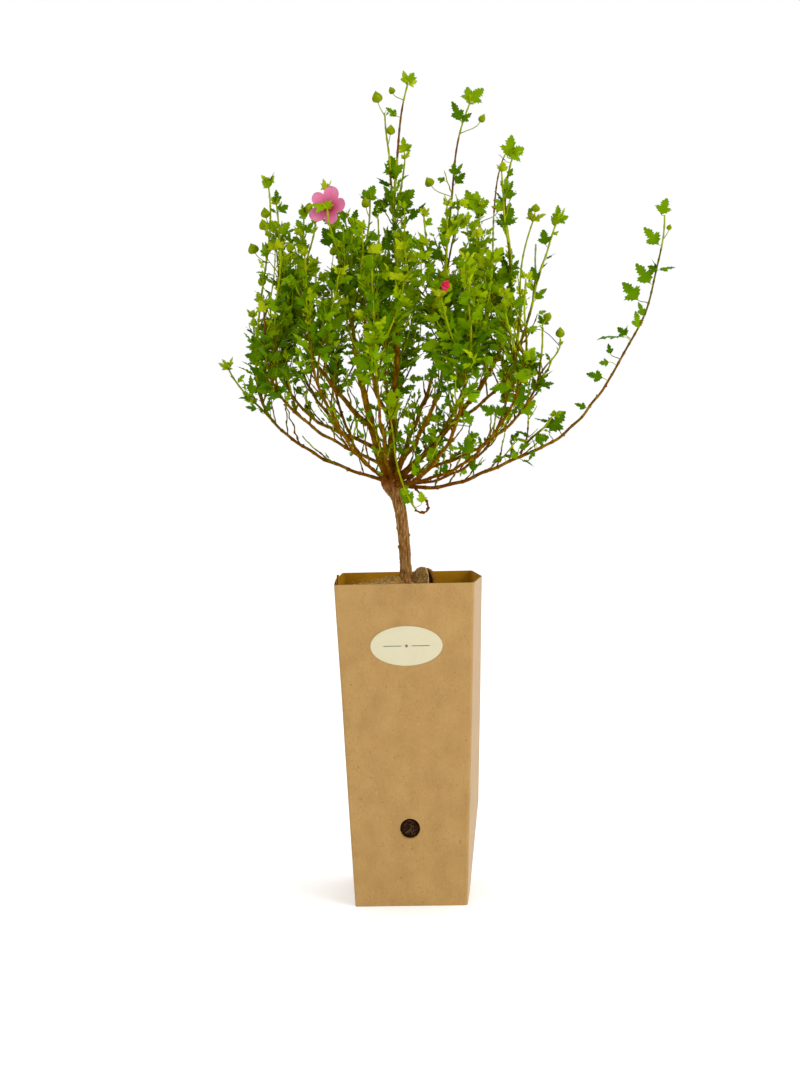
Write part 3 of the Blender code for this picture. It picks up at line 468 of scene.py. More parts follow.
KRAFT = material(
    "kraft_board_skin", (srgb(148, 112, 56), srgb(157, 121, 64), srgb(164, 129, 72)), 60, (0.50, 0.62),
    stretch=(1, 1, 0.7), bump=0.10, bump_scale=1400, gloss=0.4, sheen=0.19,
    spots=((620, 0.58, 0.70, srgb(140, 103, 46), 0.55), (900, 0.61, 0.71, srgb(182, 150, 92), 0.42),
           (330, 0.70, 0.76, srgb(124, 88, 38), 0.7)),
)
KRAFT_INSIDE = material(
    "kraft_board_inner", (srgb(148, 102, 14), srgb(160, 113, 20), srgb(170, 123, 28)), 50, (0.8, 0.95),
    bump=0.12, bump_scale=1400, spots=((700, 0.62, 0.72, srgb(126, 84, 14), 0.7),), gloss=0.02,
)
FLUTING = material("board_fluting", (srgb(120, 80, 42), srgb(146, 104, 60)), 300, (0.85, 0.95), bump=0.2)
PAPER = material(
    "label_paper", (srgb(192, 184, 154), srgb(197, 189, 160)), 90, (0.5, 0.62), bump=0.05, bump_scale=2200,
    spots=((1600, 0.66, 0.76, srgb(184, 176, 144), 0.5),),
)
INK = material("label_rule", (srgb(96, 100, 96), srgb(112, 114, 108)), 900, (0.6, 0.7), bump=0.05)
SOIL = material(
    "soil_crumb", (srgb(22, 11, 5), srgb(40, 22, 12), srgb(62, 38, 24)), 420, (0.85, 1.0), bump=0.9,
    bump_scale=900,
)
ROOT = material("root_fibre", (srgb(104, 76, 50), srgb(150, 120, 86)), 600, (0.7, 0.9), bump=0.2)
COIR = material(
    "coir_felt", (srgb(150, 106, 40), srgb(184, 142, 76), srgb(206, 168, 106)), 160, (0.9, 1.0), bump=0.9,
    bump_scale=1300, spots=((60, 0.60, 0.74, srgb(150, 118, 10), 0.7),), gloss=0.02,
)
COIR_PALE = material("coir_fibre_pale", (srgb(168, 132, 76), srgb(216, 184, 130)), 500, (0.8, 0.95), bump=0.1)
COIR_DARK = material("coir_fibre_dark", (srgb(140, 98, 36), srgb(170, 128, 60)), 500, (0.8, 0.95), bump=0.1)
CURL_GREY = material("curl_felt_grey", (srgb(84, 64, 36), srgb(112, 90, 54), srgb(142, 118, 78)), 420,
                     (0.9, 1.0), bump=0.9)
CURL_RUST = material("curl_felt_rust", (srgb(112, 66, 16), srgb(140, 90, 30), srgb(160, 112, 50)), 300,
                     (0.9, 1.0), bump=0.9)
BARK = material(
    "bark_trunk", (srgb(80, 46, 8), srgb(130, 90, 42), srgb(180, 144, 98)), 620, (0.85, 1.0),
    stretch=(1, 1, 0.18), bump=1.0, bump_scale=1500, detail=4.0,
    spots=((240, 0.60, 0.74, srgb(120, 62, 16), 0.45), (1000, 0.60, 0.70, srgb(52, 28, 6), 0.85),
           (700, 0.64, 0.74, srgb(196, 164, 122), 0.6)),
    heights=((252, 266, srgb(118, 58, 10)), (344, 335, srgb(104, 46, 0))), gloss=0.02,
)
WOOD = material(
    "bark_limbs", (srgb(68, 38, 0), srgb(104, 68, 0), srgb(142, 106, 8)), 260, (0.8, 0.95),
    stretch=(1, 1, 0.5), bump=0.6, bump_scale=1000,
    spots=((420, 0.62, 0.74, srgb(54, 26, 0), 0.7), (130, 0.58, 0.72, srgb(112, 96, 4), 0.6)),
    heights=((344, 366, srgb(98, 48, 2)),), gloss=0.02,
)
OLIVE = material(
    "twig_olive", (srgb(70, 58, 0), srgb(94, 84, 2), srgb(118, 110, 10)), 240, (0.7, 0.85), bump=0.2,
    spots=((500, 0.62, 0.74, srgb(84, 48, 0), 0.6),), gloss=0.02,
)
GREEN = material("twig_green", (srgb(104, 118, 2), srgb(134, 146, 6), srgb(158, 166, 26)), 200, (0.6, 0.75),
                 bump=0.15, gloss=0.02)
PURPLE = material("twig_purple", (srgb(78, 42, 22), srgb(104, 62, 26), srgb(120, 94, 20)), 240, (0.6, 0.75),
                  bump=0.15)
LEAF_COLOURS = (
    ("deep", (srgb(50, 84, 0), srgb(64, 99, 0), srgb(80, 112, 0))),
    ("dark", (srgb(66, 103, 0), srgb(82, 118, 0), srgb(98, 129, 0))),
    ("mid", (srgb(86, 120, 0), srgb(103, 136, 0), srgb(120, 146, 4))),
    ("light", (srgb(106, 135, 0), srgb(124, 149, 0), srgb(142, 160, 8))),
    ("young", (srgb(128, 146, 0), srgb(148, 162, 8), srgb(164, 174, 28))),
)
LEAVES = [
    material("leaf_" + name, colours, 55, (0.6, 0.75), bump=0.35, bump_scale=700, gloss=0.02,
             spots=((1500, 0.64, 0.76, tuple(min(1.0, c * 1.5) for c in colours[2]), 0.35),))
    for name, colours in LEAF_COLOURS
]
BUD = material("bud_green", (srgb(90, 108, 0), srgb(112, 128, 0), srgb(140, 150, 16)), 300, (0.6, 0.75),
               bump=0.4, gloss=0.02)


PETAL_STOPS = (
    (0.0, srgb(96, 22, 26)), (0.24, srgb(146, 38, 58)), (0.40, srgb(182, 76, 110)),
    (0.64, srgb(197, 99, 135)), (1.0, srgb(204, 122, 153)),
)
PETAL_FADE = 18 * MM


def petal_material(name, heart):
    """Pink that deepens to rose and to a dark throat towards the flower's middle, with fine veins."""
    made, shader = new_skin(name)
    feed(shader, {"Roughness": 0.55, "Specular IOR Level": 0.2})
    place = add_node(made, "TexCoord", {}).outputs["Object"]
    offset = add_node(made, "VectorMath", {0: place, 1: heart}, operation="SUBTRACT")
    away = add_node(made, "VectorMath", {0: offset.outputs[0]}, operation="LENGTH")
    veins = add_node(made, "TexNoise", {"Scale": 900, "Vector": place}).outputs["Fac"]
    spread = add_node(made, "Math", {0: veins, 1: 0.003, 2: away.outputs["Value"]}, operation="MULTIPLY_ADD")
    share = add_node(made, "Math", {0: spread.outputs[0], 1: PETAL_FADE}, operation="DIVIDE")
    feed(shader, {"Base Color": colour_ramp(made, share.outputs[0], PETAL_STOPS)})
    add_relief(made, shader, veins, 0.25, 0.0003)
    return made


# ---------------------------------------------------------------- bark

def bark_relief(points, radii, sides, grain, depth, seed):
    """Radius for each point and side, furrowed along the limb."""
    out = np.empty((len(points), sides))
    for i, (radius, length) in enumerate(zip(radii, line_lengths(points))):
        for j, angle in enumerate(sides_round(sides)):
            x = math.cos(angle) * radius * grain
            y = math.sin(angle) * radius * grain
            z = length * grain * 0.11
            ridge = 1 - 2 * abs(noise_at(x + seed, y, z))
            fine = noise_at(x * 2.3, y * 2.3 + seed, z * 3.1)
            out[i, j] = radius * (1 + depth * (ridge - 0.6) + depth * 0.5 * fine)
    return out


def dense(limb, step):
    """The limb's points and radii at an even step."""
    count = max(6, int(limb.lengths[-1] / step))
    along = np.linspace(0, limb.lengths[-1], count)
    return points_along(along, limb.lengths, limb.points), np.interp(along, limb.lengths, limb.radii), along


def smooth_line(values, passes):
    for _ in range(passes):
        values[1:-1] = (values[:-2] + 2 * values[1:-1] + values[2:]) / 4
    return values


def make_trunk(trunk):
    """Flared foot, lean, fissured bark, dormant buds, and the swollen knob with its pruning scars."""
    low, knob_z = trunk.points[0, 2], trunk.points[-1, 2]
    knob_r = trunk.radii[-1]
    heights = np.linspace(low, knob_z + knob_r * 0.97, 130)
    centres = np.zeros((len(heights), 3))
    centres[:, 2] = heights
    centres[:, 0] = smooth_line(np.interp(heights, trunk.points[:, 2], trunk.points[:, 0]), 8)
    radii = np.interp(heights, trunk.points[:, 2], trunk.radii)
    dome = heights > knob_z
    radii = smooth_line(radii, 6)
    radii[dome] = np.sqrt(np.maximum(knob_r**2 - (heights[dome] - knob_z) ** 2, (0.8 * MM) ** 2))
    sides = 72
    rough = bark_relief(centres, radii, sides, 900, 0.15, 3.0)
    angles = sides_round(sides)
    for i, height in enumerate(heights):
        foot = math.exp(-(height - low) / (7 * MM))
        rough[i] *= 1 + foot * 0.10 * np.sin(3 * angles + 0.7) + foot * 0.05 * np.sin(5 * angles)
        knob = held((height - KNOB_START) / (8 * MM))
        round_knob = [Vector((math.cos(a) * 6, math.sin(a) * 6, height / MM * 0.16)) for a in angles]
        lumps = [noise.noise(place * 0.45) for place in round_knob]
        rough[i] *= 1 + knob * 0.20 * np.array(lumps)
    soup = Soup()
    soup.tube(centres, rough, sides)
    for height, azimuth in TRUNK_BUMPS:
        at = height * MM
        centre = np.array([np.interp(at, trunk.points[:, 2], trunk.points[:, k]) for k in range(3)])
        radius = float(np.interp(at, trunk.points[:, 2], trunk.radii))
        out = direction(azimuth, 30)
        base = centre + direction(azimuth, 0) * radius * 0.62
        line = np.array([base + out * s * MM for s in (0, 0.9, 1.9, 2.7, 3.1)])
        soup.tube(line, mm(2.3, 2.1, 1.5, 0.9, 0.3), 9)
    # the cut stub beside the knob
    stub = np.array(((-1.5, 0, 340), (2, -0.5, 343.4), (5.5, -1.3, 346.6), (8.4, -2, 349))) * MM
    line = np.array([stub[0] + (stub[-1] - stub[0]) * t for t in np.linspace(0, 1, 9)])
    soup.tube(line, mm(2.3, 2.0, 1.7, 1.6, 1.55, 1.5, 1.6, 1.7, 1.55), 12)
    return soup


def kinks(points, along, nodes_at, seed):
    """A slight change of heading at each joint, none at the limb's ends."""
    _, across, other = carried_frames(points)
    turn = 0 * along
    if len(nodes_at) > 1:
        turn = seed + DIVERGENCE * np.interp(along, nodes_at, np.arange(len(nodes_at)))
    fade = np.sin(math.pi * along / along[-1]) * KINK
    return fade[:, None] * (np.cos(turn)[:, None] * across + np.sin(turn)[:, None] * other)


def limb_mesh(limb, step, sides, depth, root, collar, nodes_at, swell, seed):
    """A barked limb from a root inside its parent, with a collar at its foot and swollen leaf joints."""
    points, radii, along = dense(limb, step)
    radii = radii * (1 + collar * np.exp(-along / (2.5 * radii[0])))
    points = points + kinks(points, along, nodes_at, seed)
    for place in nodes_at:
        radii = radii * (1 + swell * np.exp(-(((along - place) / (0.9 * MM)) ** 2)))
    points = np.vstack([root, (root + points[0]) / 2, points])
    radii = np.concatenate([[radii[0] * 0.8, radii[0]], radii])
    if depth:
        radii = bark_relief(points, radii, sides, 700, depth, seed)
    return tube(points, radii, sides)


def dormant_buds(limb, nodes_at):
    """The small knob at each old leaf joint."""
    pieces = []
    for number, place in enumerate(nodes_at):
        at, along, radius = limb.at(place / limb.lengths[-1])
        _, side, _ = frame_along(along, number * DIVERGENCE)
        out = unit(side + along * 0.35)
        base = at + side * radius * 0.7
        line = np.array([base + out * s * MM for s in (0, 0.5, 0.95, 1.25)])
        size = 0.55 + 0.22 * radius / MM
        pieces.append(tube(line, np.array((1.1, 1.1, 0.8, 0.3)) * size * MM, 6))
    return pieces


# ---------------------------------------------------------------- leaves, buds and flower

HALF_LEAF = (
    (0.06, 0.030), (0.14, 0.120), (0.17, 0.240), (0.235, 0.225), (0.270, 0.345), (0.325, 0.310),
    (0.415, 0.430), (0.430, 0.330), (0.500, 0.315), (0.475, 0.220), (0.490, 0.130), (0.560, 0.215),
    (0.600, 0.145), (0.690, 0.225), (0.735, 0.130), (0.820, 0.165), (0.855, 0.080), (0.935, 0.075),
)
RIB = ((0.18, 0.0), (0.34, 0.0), (0.50, 0.0), (0.66, 0.0), (0.82, 0.0))
SIDE_VEIN = ((0.22, 0.13), (0.32, 0.24))


def leaf_shape(random, lobes):
    """One toothed, three-lobed leaf of unit length: its points and triangles, folded along its veins.

    lobes runs from -1, a long middle lobe with small ears, to 1, a broad leaf as wide as it is long."""
    outline = [(0.0, 0.0)]
    for side in (1, -1):
        half = []
        widen = 1 + 0.30 * lobes + random.uniform(-0.1, 0.1)
        for x, y in HALF_LEAF:
            near = max(0.0, 1 - abs(x - 0.34) / 0.22)
            far = max(0.0, (x - 0.45) / 0.55)
            x = x + 0.05 * lobes * near + random.uniform(-0.014, 0.014)
            y = y * (widen + 0.25 * lobes * far) + random.uniform(-0.014, 0.014)
            half.append((x, side * max(0.02, y)))
        outline += half if side == 1 else half[::-1]
        if side == 1:
            outline.append((1.0, 0.0))
    inner = list(RIB) + [(x, s * y * (1 + 0.30 * lobes)) for x, y in SIDE_VEIN for s in (1, -1)]
    flat = [Vector(p) for p in outline + inner]
    done = delaunay_2d_cdt(flat, [], [list(range(len(outline)))], 1, 1e-6)
    points = np.array([(p.x, p.y, 0.0) for p in done[0]])
    faces = []
    for face in done[2]:
        for k in range(1, len(face) - 1):
            faces.append((face[0], face[k], face[k + 1]))
    x, y = points[:, 0], np.abs(points[:, 1])
    on_vein = np.exp(-(((y - 0.90 * (x - 0.06)) / 0.06) ** 2)) * (y > 0.05) * (x < 0.46)
    cup = random.uniform(0.05, 0.45)
    droop = random.uniform(-0.05, 0.30)
    points[:, 2] = cup * y - 0.06 * on_vein - droop * x**2 - 0.5 * np.maximum(0, y - 0.2) ** 1.2
    points[:, 2] += 0.02 * np.sin(x * 31 + random.uniform(0, 6)) * (y > 0.10)
    points[:, 1] *= random.uniform(0.88, 1.10)
    twist = random.uniform(-0.5, 0.5) * points[:, 0]
    points[:, 2] += points[:, 1] * twist
    return points, np.array(faces)


def simple_leaf_shape(random):
    """A small narrow leaf with a few teeth, for tips and tufts."""
    half = ((0.16, 0.05), (0.36, 0.19), (0.50, 0.17), (0.60, 0.24), (0.72, 0.13), (0.86, 0.12))
    outline = [(0.0, 0.0)] + [(x, y + random.uniform(-0.015, 0.015)) for x, y in half] + [(1.0, 0.0)]
    outline += [(x, -y + random.uniform(-0.015, 0.015)) for x, y in half[::-1]]
    flat = [Vector(p) for p in outline + [(0.35, 0.0), (0.65, 0.0)]]
    done = delaunay_2d_cdt(flat, [], [list(range(len(outline)))], 1, 1e-6)
    points = np.array([(p.x, p.y, 0.0) for p in done[0]])
    faces = np.array([f for f in done[2] if len(f) == 3])
    cup = random.uniform(0.3, 0.6)
    droop = random.uniform(-0.1, 0.25)
    points[:, 2] = cup * np.abs(points[:, 1]) - droop * points[:, 0] ** 2
    return points, faces


SHAPE_RANDOM = np.random.default_rng(SEED)
LEAF_LOBES = (-0.9, -0.5, -0.2, 0.0, 0.2, 0.5, 0.8, 0.3, -0.3, 0.6)
BIG_LEAVES = [leaf_shape(SHAPE_RANDOM, lobes) for lobes in LEAF_LOBES]
SMALL_LEAVES = [simple_leaf_shape(SHAPE_RANDOM) for _ in range(6)]


# the crown's outline in the photo, as x and z on the plane through the trunk, and the camera it was seen from
CROWN_EDGE = np.array((
    (-113, 520), (-110, 545), (-104, 556), (-94, 560), (-82, 552), (-68, 546), (-54, 552), (-38, 560),
    (-24, 560), (-14, 578), (-4, 584), (7, 572), (18, 556), (32, 550), (46, 556), (60, 562), (74, 556),
    (90, 548), (104, 542), (106, 530), (95, 518), (95, 499), (89, 474), (95, 450), (114, 448), (119, 431),
    (112, 420), (98, 401), (84, 385), (55, 369), (30, 355), (5, 352), (-15, 359), (-48, 388), (-84, 405),
    (-108, 414), (-122, 426), (-116, 455), (-112, 479),
)) * MM
# the wider gaps inside it where the photo shows open white, as x, z and radius
OPEN_SKY = np.array((
    (108, 546, 8.3), (109, 531, 8.3), (91, 543, 5.0), (107, 480, 6.6), (102, 456, 5.8), (118, 457, 7.5),
    (102, 389, 6.6), (72, 412, 5.8), (69, 422, 5.0), (64, 397, 5.8), (58, 406, 4.1), (47, 383, 5.0),
    (74, 386, 4.1), (43, 357, 5.0), (-65, 538, 6.6), (-59, 528, 5.8), (-26, 566, 5.8), (-12, 559, 5.8),
    (42, 522, 4.1), (42, 537, 5.0), (-22, 422, 5.0), (-49, 381, 5.8), (-56, 385, 5.8), (-88, 391, 6.6),
    (-95, 397, 5.0), (-82, 386, 7.5), (-72, 380, 7.5), (-30, 369, 5.0), (-63, 414, 4.1), (13, 553, 5.0),
    (-86, 567, 5.0), (-109, 504, 5.0), (-110, 486, 4.1), (-103, 526, 3.3), (71, 412, 4.5), (69, 424, 4.0),
    (-22, 421, 4.5), (-32, 566, 5.0), (-28, 380, 4.5), (39, 523, 4.2), (105, 457, 5.0), (88, 544, 4.5),
)) * MM
# where the photo's crown is thinner: least and greatest x, least and greatest z, share of leaves left out
THIN_AREAS = (
    (78, 120, 395, 548, 0.42), (108, 150, 430, 475, 0.7), (-112, -60, 395, 448, 0.48),
    (-60, -8, 375, 425, 0.42), (10, 34, 452, 560, 0.14), (48, 80, 388, 425, 0.2),
)
EYE = np.array((0.0353, -1.3645, 0.388))


def seen_at(place):
    """Where a place shows from the camera, as x and z on the plane through the trunk."""
    share = EYE[1] / (EYE[1] - place[1])
    return EYE[0] + (place[0] - EYE[0]) * share, EYE[2] + (place[2] - EYE[2]) * share


def in_open_sky(place, margin=2.5 * MM):
    x, z = seen_at(place)
    return bool((np.hypot(x - OPEN_SKY[:, 0], z - OPEN_SKY[:, 1]) < OPEN_SKY[:, 2] + margin).any())


def left_out(place, random):
    """Whether a leaf here is one of those that a thinner area goes without."""
    x, z = seen_at(place)
    shares = [0.0]
    for x0, x1, z0, z1, share in THIN_AREAS:
        if x0 * MM < x < x1 * MM and z0 * MM < z < z1 * MM:
            shares.append(share)
    return random.random() < max(shares)


def out_of_shape(place):
    """Whether a place shows outside the crown's outline from the camera."""
    x, z = seen_at(place)
    before = np.roll(CROWN_EDGE, 1, axis=0)
    crosses = (CROWN_EDGE[:, 1] > z) != (before[:, 1] > z)
    rise = np.where(crosses, before[:, 1] - CROWN_EDGE[:, 1], 1.0)
    edge_x = CROWN_EDGE[:, 0] + (z - CROWN_EDGE[:, 1]) * (before[:, 0] - CROWN_EDGE[:, 0]) / rise
    return not np.count_nonzero(crosses & (x < edge_x)) % 2


class Plant:
    """Gathers leaves by colour, stems by colour, buds and petals."""

    def __init__(self):
        self.leaves = [Soup() for _ in LEAF_COLOURS]
        self.stalks = Soup()
        self.wood = Soup()
        self.olive = Soup()
        self.green = Soup()
        self.purple = Soup()
        self.buds = Soup()
        self.petals = Soup()
        self.rose = Soup()
        self.hearts = Soup()

    def leaf(self, place, heading, roll, length, tint, random, small=False, stalk=0.22, free=False):
        """A leaf on its stalk, which leaves the stem along the heading. The blade follows on, tipped over."""
        middle = place + heading * length * (0.7 + stalk)
        if left_out(middle, random) or in_open_sky(middle, 0.28 * length) and random.random() < 0.95:
            return
        if not free and out_of_shape(middle) and random.random() < 0.9:
            return
        axes = frame_along(heading, roll)
        end = place + heading * length * stalk
        lean = unit(heading + axes[2] * random.uniform(-0.30, 0.15))
        axes = frame_along(lean, roll)
        if stalk > 0.1:
            sag = (place + end) / 2 - axes[2] * length * stalk * 0.06
            line = np.array([place, sag, end + lean * length * 0.1])
            self.stalks.tube(line, np.array((1.25, 0.9, 0.8)) * (0.22 * MM + 0.010 * length), 3)
        self.blade(end, axes, length, tint, random, small)

    def blade(self, place, axes, length, tint, random, small=False, broad=False):
        shapes = SMALL_LEAVES if small else BIG_LEAVES[4:] if broad else BIG_LEAVES
        points, faces = shapes[random.integers(len(shapes))]
        self.leaves[tint].add(place + (points * length) @ np.array(axes), faces)

    def tuft(self, place, along, count, length, tint, random, free=False):
        """A bunch of small upright leaves at a tip or a joint."""
        turn = random.uniform(0, FULL_TURN)
        for number in range(count):
            _, side, _ = frame_along(along, turn + number * DIVERGENCE)
            spread = 0.15 + 0.65 * number / max(1, count - 1)
            heading = unit(along + side * spread)
            size = length * (0.6 + 0.5 * number / max(1, count - 1)) * random.uniform(0.85, 1.15)
            self.leaf(place, heading, random.uniform(-1.5, 1.5), size, tint, random, small=size < 5.5 * MM,
                      stalk=0.12, free=free)

    def stem_tube(self, limb, sides, spacing, soup_at, swell=0.35):
        """The stem in stretches of one colour each, with swollen joints."""
        points, radii, along = dense(limb, 2.2 * MM)
        total = along[-1]
        for place in np.arange(spacing, total, spacing):
            radii = radii * (1 + swell * np.exp(-(((along - place) / (1.1 * MM)) ** 2)))
        shares = along / total
        start = 0
        for soup, end_share in soup_at:
            end = int(np.searchsorted(shares, end_share, side="right"))
            end = min(max(end, start + 2), len(points))
            if end - start >= 2:
                soup.tube(points[start:end], radii[start:end], sides)
            start = end - 1
            if start >= len(points) - 1:
                break

    def bud(self, foot, tip, width, length):
        """A ribbed, pointed bud on a thin stalk that bends up from the stem."""
        foot, tip = np.array(foot), np.array(tip)
        reach = np.linalg.norm(tip - foot)
        out = unit(tip - foot)
        up = unit(out + 0.9 * UP)
        line = bezier(foot, foot + out * reach * 0.4, tip - up * reach * 0.35, tip, 9)
        self.stalks.tube(line, np.linspace(0.42, 0.36, 9) * MM, 5)
        self.bud_body(tip, up, width, length, self.buds)

    def bud_body(self, place, up, width, length, soup):
        shares = np.array((0.0, 0.08, 0.2, 0.36, 0.52, 0.68, 0.82, 0.92, 1.0))
        profile = np.array((0.18, 0.62, 0.92, 1.0, 0.93, 0.70, 0.40, 0.18, 0.04)) * width / 2
        sides = 15
        angles = np.arange(sides) * 2 * math.pi / sides
        ribs = 1 + 0.08 * np.cos(5 * angles)
        line = np.array([place + up * length * s for s in shares])
        soup.tube(line, profile[:, None] * ribs[None, :], sides)


# ---------------------------------------------------------------- growth

def twig_line(place, heading, length, random, lift=0.5):
    rise = unit(heading + lift * UP)
    tip = place + heading * length * 0.5 + rise * length * 0.5
    line = bezier(place, place + heading * length * 0.35, tip - rise * length * 0.35, tip, 10)
    line[1:-1] += random.normal(0, 0.012 * length, (8, 3))
    return line


def grow_twig(plant, place, heading, length, radius, tint, leaf_length, random, woody, spacing, bare=0.0,
              knobs=0.5):
    """A side twig with joints, leaves by divergence and a tuft at its end."""
    line = twig_line(place, heading, length, random)
    limb = Limb(line, np.linspace(radius, radius * 0.6, len(line)))
    soups = {
        "wood": ((plant.wood, 0.5), (plant.olive, 1.0)),
        "olive": ((plant.olive, 0.6), (plant.green, 1.0)),
        "green": ((plant.green, 1.0),),
    }[woody]
    plant.stem_tube(limb, 5, spacing, soups, swell=knobs)
    turn = random.uniform(0, FULL_TURN)
    for here in np.arange(spacing * 0.9, length * 0.97, spacing):
        turn += DIVERGENCE
        share = here / length
        if random.random() < bare * (1.5 - share):
            continue
        at, along, _ = limb.at(share)
        _, side, _ = frame_along(along, turn)
        size = leaf_length * (1.05 - 0.30 * share) * random.uniform(0.75, 1.15)
        out = unit(side * random.uniform(0.5, 0.95) + along * random.uniform(0.7, 1.2) + 0.15 * UP)
        plant.leaf(at, out, random.uniform(-0.9, 0.9), size, tint, random, small=size < 6.5 * MM)
    at, along, _ = limb.at(1.0)
    plant.tuft(at, along, 3, leaf_length * 0.7, min(4, tint + 1), random)


def pick_tint(bright, share, random):
    """0 is the darkest leaf colour and 4 the youngest."""
    value = 0.55 + 1.6 * bright + 1.1 * (share - 0.4) + random.normal(0, 0.75)
    return int(np.clip(round(value), 0, 4))


def grow_side_shoot(plant, stem, share, turn, bright, leaf_size, random):
    """An upright leafy shoot off a stem, aimed where the crown still has room."""
    place, along, radius = stem.at(share)
    length = random.uniform(48, 92) * MM * (1.15 - 0.6 * share)
    up = unit(along * 0.5 + UP)
    for _ in range(5):
        turn += DIVERGENCE
        _, side, _ = frame_along(along, turn)
        tip = place + side * length * random.uniform(0.30, 0.50) + up * length * 0.80
        inside = math.hypot(tip[0], tip[1] * 1.25) < CROWN_REACH
        if inside and not out_of_shape(tip) and not in_open_sky(tip, 5 * MM):
            break
    else:
        return
    heading = unit(side * 0.9 + along)
    line = bezier(place, place + heading * length * 0.35, tip - up * length * 0.35, tip, 14)
    shoot = Limb(line, np.linspace(min(radius * 0.8, 0.75 * MM), 0.42 * MM, 14))
    plant.stem_tube(shoot, 5, 7 * MM, ((plant.olive, 0.45), (plant.green, 1.0)), swell=0.5)
    turn = random.uniform(0, FULL_TURN)
    for number, here in enumerate(np.arange(5 * MM, length * 0.98, 6.2 * MM)):
        inner = here / length
        at, along, _ = shoot.at(inner)
        turn += DIVERGENCE
        _, side, _ = frame_along(along, turn)
        tint = pick_tint(bright, 0.25 + 0.6 * inner, random)
        size = random.uniform(12.5, 18.5) * MM * leaf_size * (1.05 - 0.35 * inner)
        out = unit(side + along * random.uniform(0.5, 1.1))
        plant.leaf(at, out, random.uniform(-1, 1), size, tint, random)
        if number % 3 == 1 and inner < 0.75:
            out = unit(side * 0.8 - along * 0.1 + 0.7 * UP)
            grow_twig(plant, at, out, random.uniform(10, 22) * MM, 0.42 * MM, tint, 10.5 * MM * leaf_size,
                      random, "olive", 6.0 * MM)
    at, along, _ = shoot.at(1.0)
    plant.tuft(at, along, 5, 10 * MM * leaf_size, min(4, pick_tint(bright, 1.0, random) + 1), random)


BARE_HEIGHT = 588 * MM
PURPLE_TIP_HEIGHT = 600 * MM
CROWN_REACH = 122 * MM


def bare_above(place):
    """The long shoots above the crown carry only the leaves that are seen on them."""
    return place[2] > BARE_HEIGHT


def grow_stem(plant, stem, bright, leaf_size, random, is_leader, is_green):
    length = stem.lengths[-1]
    if is_green and stem.points[-1][2] > PURPLE_TIP_HEIGHT:
        soups = ((plant.olive, 0.18), (plant.green, 0.72), (plant.purple, 0.93), (plant.green, 1.0))
    elif is_green:
        soups = ((plant.olive, 0.18), (plant.green, 1.0))
    elif is_leader:
        young = plant.purple if random.random() < 0.4 else plant.green
        soups = ((plant.wood, 0.36), (plant.olive, 0.66), (young, 0.88), (plant.green, 1.0))
    elif bright > 0.45:
        soups = ((plant.olive, 0.45), (plant.green, 1.0))
    else:
        soups = ((plant.wood, 0.3), (plant.olive, 0.7), (plant.green, 1.0))
    plant.stem_tube(stem, 7, 8.5 * MM, soups)
    for share in (0.10, 0.36) if is_leader else (0.3,):
        share += random.uniform(0, 0.08)
        turn = random.uniform(0, FULL_TURN)
        grow_side_shoot(plant, stem, share, turn, bright, leaf_size, random)
    turn = random.uniform(0, FULL_TURN)
    here = 5 * MM
    number = 0
    while here < length * 0.985:
        share = here / length
        place, along, _ = stem.at(share)
        turn += DIVERGENCE
        _, side, _ = frame_along(along, turn)
        tint = pick_tint(bright, share, random)
        here += random.uniform(6.0, 8.5) * MM
        number += 1
        if bare_above(place):
            continue
        if number % 2 and share < 0.84:
            # the twigs reach as far as the solids' twigs and leaves do
            reach = random.uniform(16, 34) * MM * (1.1 - 0.6 * share)
            heading = unit(side * 0.8 + along + 0.35 * UP)
            woody = "wood" if share < 0.25 else "olive" if share < 0.55 else "green"
            size = random.uniform(11.5, 16) * MM * leaf_size * (1.05 - 0.3 * share)
            end = place + heading * reach
            if not in_open_sky(end, 4 * MM) and (not out_of_shape(end) or random.random() < 0.15):
                grow_twig(plant, place, heading, reach, 0.55 * MM, tint, size, random, woody, 6.2 * MM)
        if share > 0.1 or random.random() < 0.5:
            size = random.uniform(13, 20) * MM * leaf_size * (1.05 - 0.45 * share**2)
            heading = unit(side * random.uniform(0.45, 0.9) + along * random.uniform(0.7, 1.3))
            if out_of_shape(place):
                if random.random() < 0.35:
                    continue
                size *= 0.8
            plant.leaf(place, heading, random.uniform(-1.0, 1.0), size, tint, random, free=True)
            if random.random() < 0.45:
                plant.tuft(place, unit(along + side * 0.7), 2, 9.5 * MM * leaf_size, min(4, tint + 1), random,
                           free=True)
    place, along, _ = stem.at(1.0)
    count, size = (4, 6.5) if bare_above(place) else (6, 9.5 * leaf_size)
    plant.tuft(place, along, count, size * MM, 4 if bright > 0.3 else 3, random, free=True)


